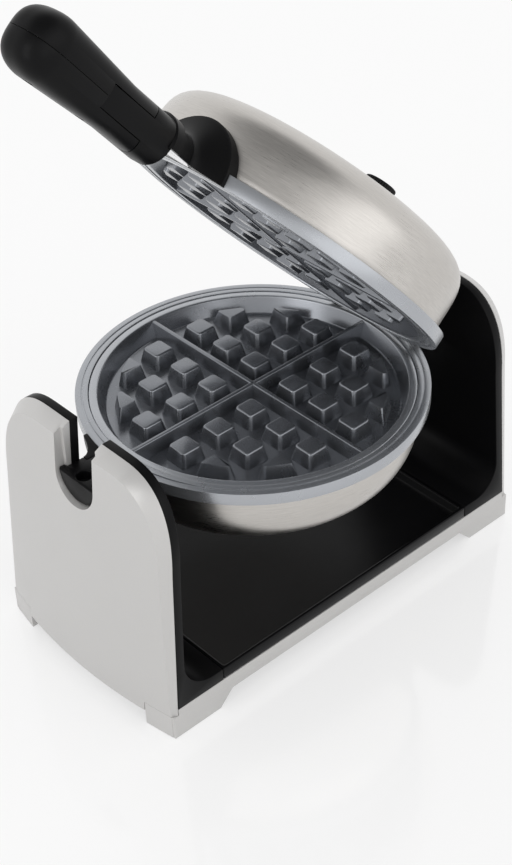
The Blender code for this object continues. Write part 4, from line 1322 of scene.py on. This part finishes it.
def makeDial():
    form = dialForm
    inner, top, edge, step = (form[key] for key in ("gripRadius", "top", "edge", "step"))
    low = form["trimTop"] + form["gap"]
    skirt, wide = low + form["skirt"], form["radius"]
    rounding = arc((inner - form["topEdge"], top - form["topEdge"]), form["topEdge"], pi / 2, 0, 6)
    profile = [(0, top - step), (inner - form["dishRim"], top - step), *rounding, (inner, skirt + edge),
               (inner + step, skirt), (wide - edge, skirt), (wide, skirt - edge), (wide, low), (0, low)]
    piece = turned("dialKnob", profile, form["ribs"] * 6)
    edit(piece)
    sideLow, sideHigh = skirt + seatGap, top - form["ribStop"]
    pick("VERT", lambda vertex: sideLow < vertex.co.z < sideHigh and vertex.co.xy.length > inner - seatGap)

    def ribbed(co):
        wave = 0.5 - 0.5 * cos(form["ribs"] * atan2(co.y, co.x))
        return Vector((co.x, co.y, co.z)) - Vector((co.x, co.y, 0)).normalized() * form["ribDepth"] * wave

    pull(ribbed)
    leave()
    seat(piece, upperHalf @ Matrix.Translation((form["reach"], 0, 0)))
    finish(piece, "dial", "blackGloss", "dial_knob", sharp=50)


def makeTrim():
    form, edge = dialForm, dialForm["edge"]
    radius, bottom, top = form["trimRadius"], form["trimBottom"], form["trimTop"]
    profile = [(form["hole"], bottom), (radius, bottom), (radius, top - edge), (radius - edge, top),
               (form["hole"], top)]
    trim = turned("dialTrim", profile, 128, closed=True)
    seat(trim, Matrix.Translation((form["reach"], 0, 0)))
    carve(trim, domeRoom(upper))
    seat(trim, upperHalf)
    finish(trim, "lid", "brightTrim", "dial_trim", sharp=50)


makeDial()
makeTrim()
print("dial made")


# Pieces kept from the solid model: all lie inside the iron or the knuckle

for node in ("lower_element", "upper_element", "fold_pin", "dial_shaft", "thermostat", "browning_control"):
    kept = frame["nodes"][node]
    if not kept.material_slots:
        kept.data.materials.append(materials["darkSteel"])
    for materialSlot in kept.material_slots:
        materialSlot.material = materials["darkSteel"]


# Stage

stageLook = {
    "cameraSpot": (-0.6123, -0.7044, 0.8382),
    "yaw": radians(40.8),
    "pitch": radians(-37.7),
    "roll": -0.0427,
    "lens": 72.09,
    "sensor": 36,
    "clip": (0.05, 50),
    "floorSize": 8,
    "floorColour": (0.97, 0.97, 0.97),
    "floorGloss": 0.08,
    "floorCoat": 1.8,
    "floorGlow": 0.60,
    "worldLight": 0.86,
    "ceiling": 0.30,
    "ceilingEdge": (0.66, 0.86),
}


def makeCamera():
    yaw, pitch, roll = stageLook["yaw"], stageLook["pitch"], stageLook["roll"]
    forward = Vector((sin(yaw) * cos(pitch), cos(yaw) * cos(pitch), sin(pitch)))
    level = forward.cross(Vector((0, 0, 1))).normalized()
    above = level.cross(forward)
    right = level * cos(roll) + above * sin(roll)
    up = above * cos(roll) - level * sin(roll)
    bpy.ops.object.camera_add()
    camera = bpy.context.object
    camera.name = "photoCamera"
    turn = Matrix((right, up, -forward)).transposed().to_4x4()
    camera.matrix_world = Matrix.Translation(stageLook["cameraSpot"]) @ turn
    camera.data.lens = stageLook["lens"]
    camera.data.sensor_width = stageLook["sensor"]
    camera.data.clip_start, camera.data.clip_end = stageLook["clip"]
    bpy.context.scene.camera = camera


def seenPlainly(tree):
    # 1 where the camera, a reflection or glass looks at the surface, 0 where it only lights
    path = tree.nodes.new("ShaderNodeLightPath").outputs
    mirrored = maths(tree, "MAXIMUM", path["Is Glossy Ray"], path["Is Transmission Ray"])
    return maths(tree, "MAXIMUM", path["Is Camera Ray"], mirrored)


def makeFloor():
    floor = begin("floor", bpy.ops.mesh.primitive_plane_add, size=stageLook["floorSize"])
    leave()
    material, tree, shader = newMaterial("paleFloor")
    shader.inputs["Base Color"].default_value = (*stageLook["floorColour"], 1)
    shader.inputs["Roughness"].default_value = stageLook["floorGloss"]
    shader.inputs["Coat Weight"].default_value = 1
    shader.inputs["Coat Roughness"].default_value = stageLook["floorGloss"]
    shader.inputs["Coat IOR"].default_value = stageLook["floorCoat"]
    glow = addNode(tree, "ShaderNodeEmission", Color=(1, 1, 1, 1), Strength=1)
    blend = tree.nodes.new("ShaderNodeMixShader")
    tree.links.new(ranged(tree, seenPlainly(tree), 0, stageLook["floorGlow"]), blend.inputs["Fac"])
    tree.links.new(shader.outputs["BSDF"], blend.inputs[1])
    tree.links.new(glow.outputs["Emission"], blend.inputs[2])
    tree.links.new(blend.outputs["Shader"], tree.nodes["Material Output"].inputs["Surface"])
    floor.data.materials.append(material)


def makeWorld():
    world = bpy.data.worlds.new("studio")
    bpy.context.scene.world = world
    world.use_nodes = True
    tree = world.node_tree
    background = tree.nodes["Background"]
    background.inputs["Color"].default_value = (1, 1, 1, 1)
    # Reflections see a white horizon under a dimmer ceiling
    apart = tree.nodes.new("ShaderNodeSeparateXYZ")
    tree.links.new(tree.nodes.new("ShaderNodeTexCoord").outputs["Generated"], apart.inputs["Vector"])
    reflected = tree.nodes.new("ShaderNodeMix")
    reflected.inputs["A"].default_value = 1
    tree.links.new(tree.nodes.new("ShaderNodeLightPath").outputs["Is Glossy Ray"], reflected.inputs["Factor"])
    tree.links.new(ranged(tree, apart.outputs["Z"], 1, stageLook["ceiling"], *stageLook["ceilingEdge"]),
                   reflected.inputs["B"])
    strength = maths(tree, "MULTIPLY", ranged(tree, seenPlainly(tree), stageLook["worldLight"], 1),
                     reflected.outputs["Result"])
    tree.links.new(strength, background.inputs["Strength"])


lamps = {
    "keyLamp": {"spot": (0.1, -1.9, 0.95), "aim": (0, 0, 0.15), "size": (2, 1.2), "power": 4.5},
    "sideLamp": {"spot": (-1.6, -0.2, 0.9), "aim": (0, 0, 0.15), "size": (0.8, 1.4), "power": 4.5},
}


def makeLamps():
    for name, look in lamps.items():
        bpy.ops.object.light_add(type="AREA", location=look["spot"])
        lamp = bpy.context.object
        lamp.name = name
        lamp.data.shape = "RECTANGLE"
        lamp.data.size, lamp.data.size_y = look["size"]
        lamp.data.energy = look["power"]
        toward = Vector(look["aim"]) - Vector(look["spot"])
        lamp.rotation_euler = toward.to_track_quat("-Z", "Y").to_euler()


makeCamera()
makeFloor()
makeWorld()
makeLamps()
bpy.context.scene.view_settings.view_transform = "Standard"
print("stage set")
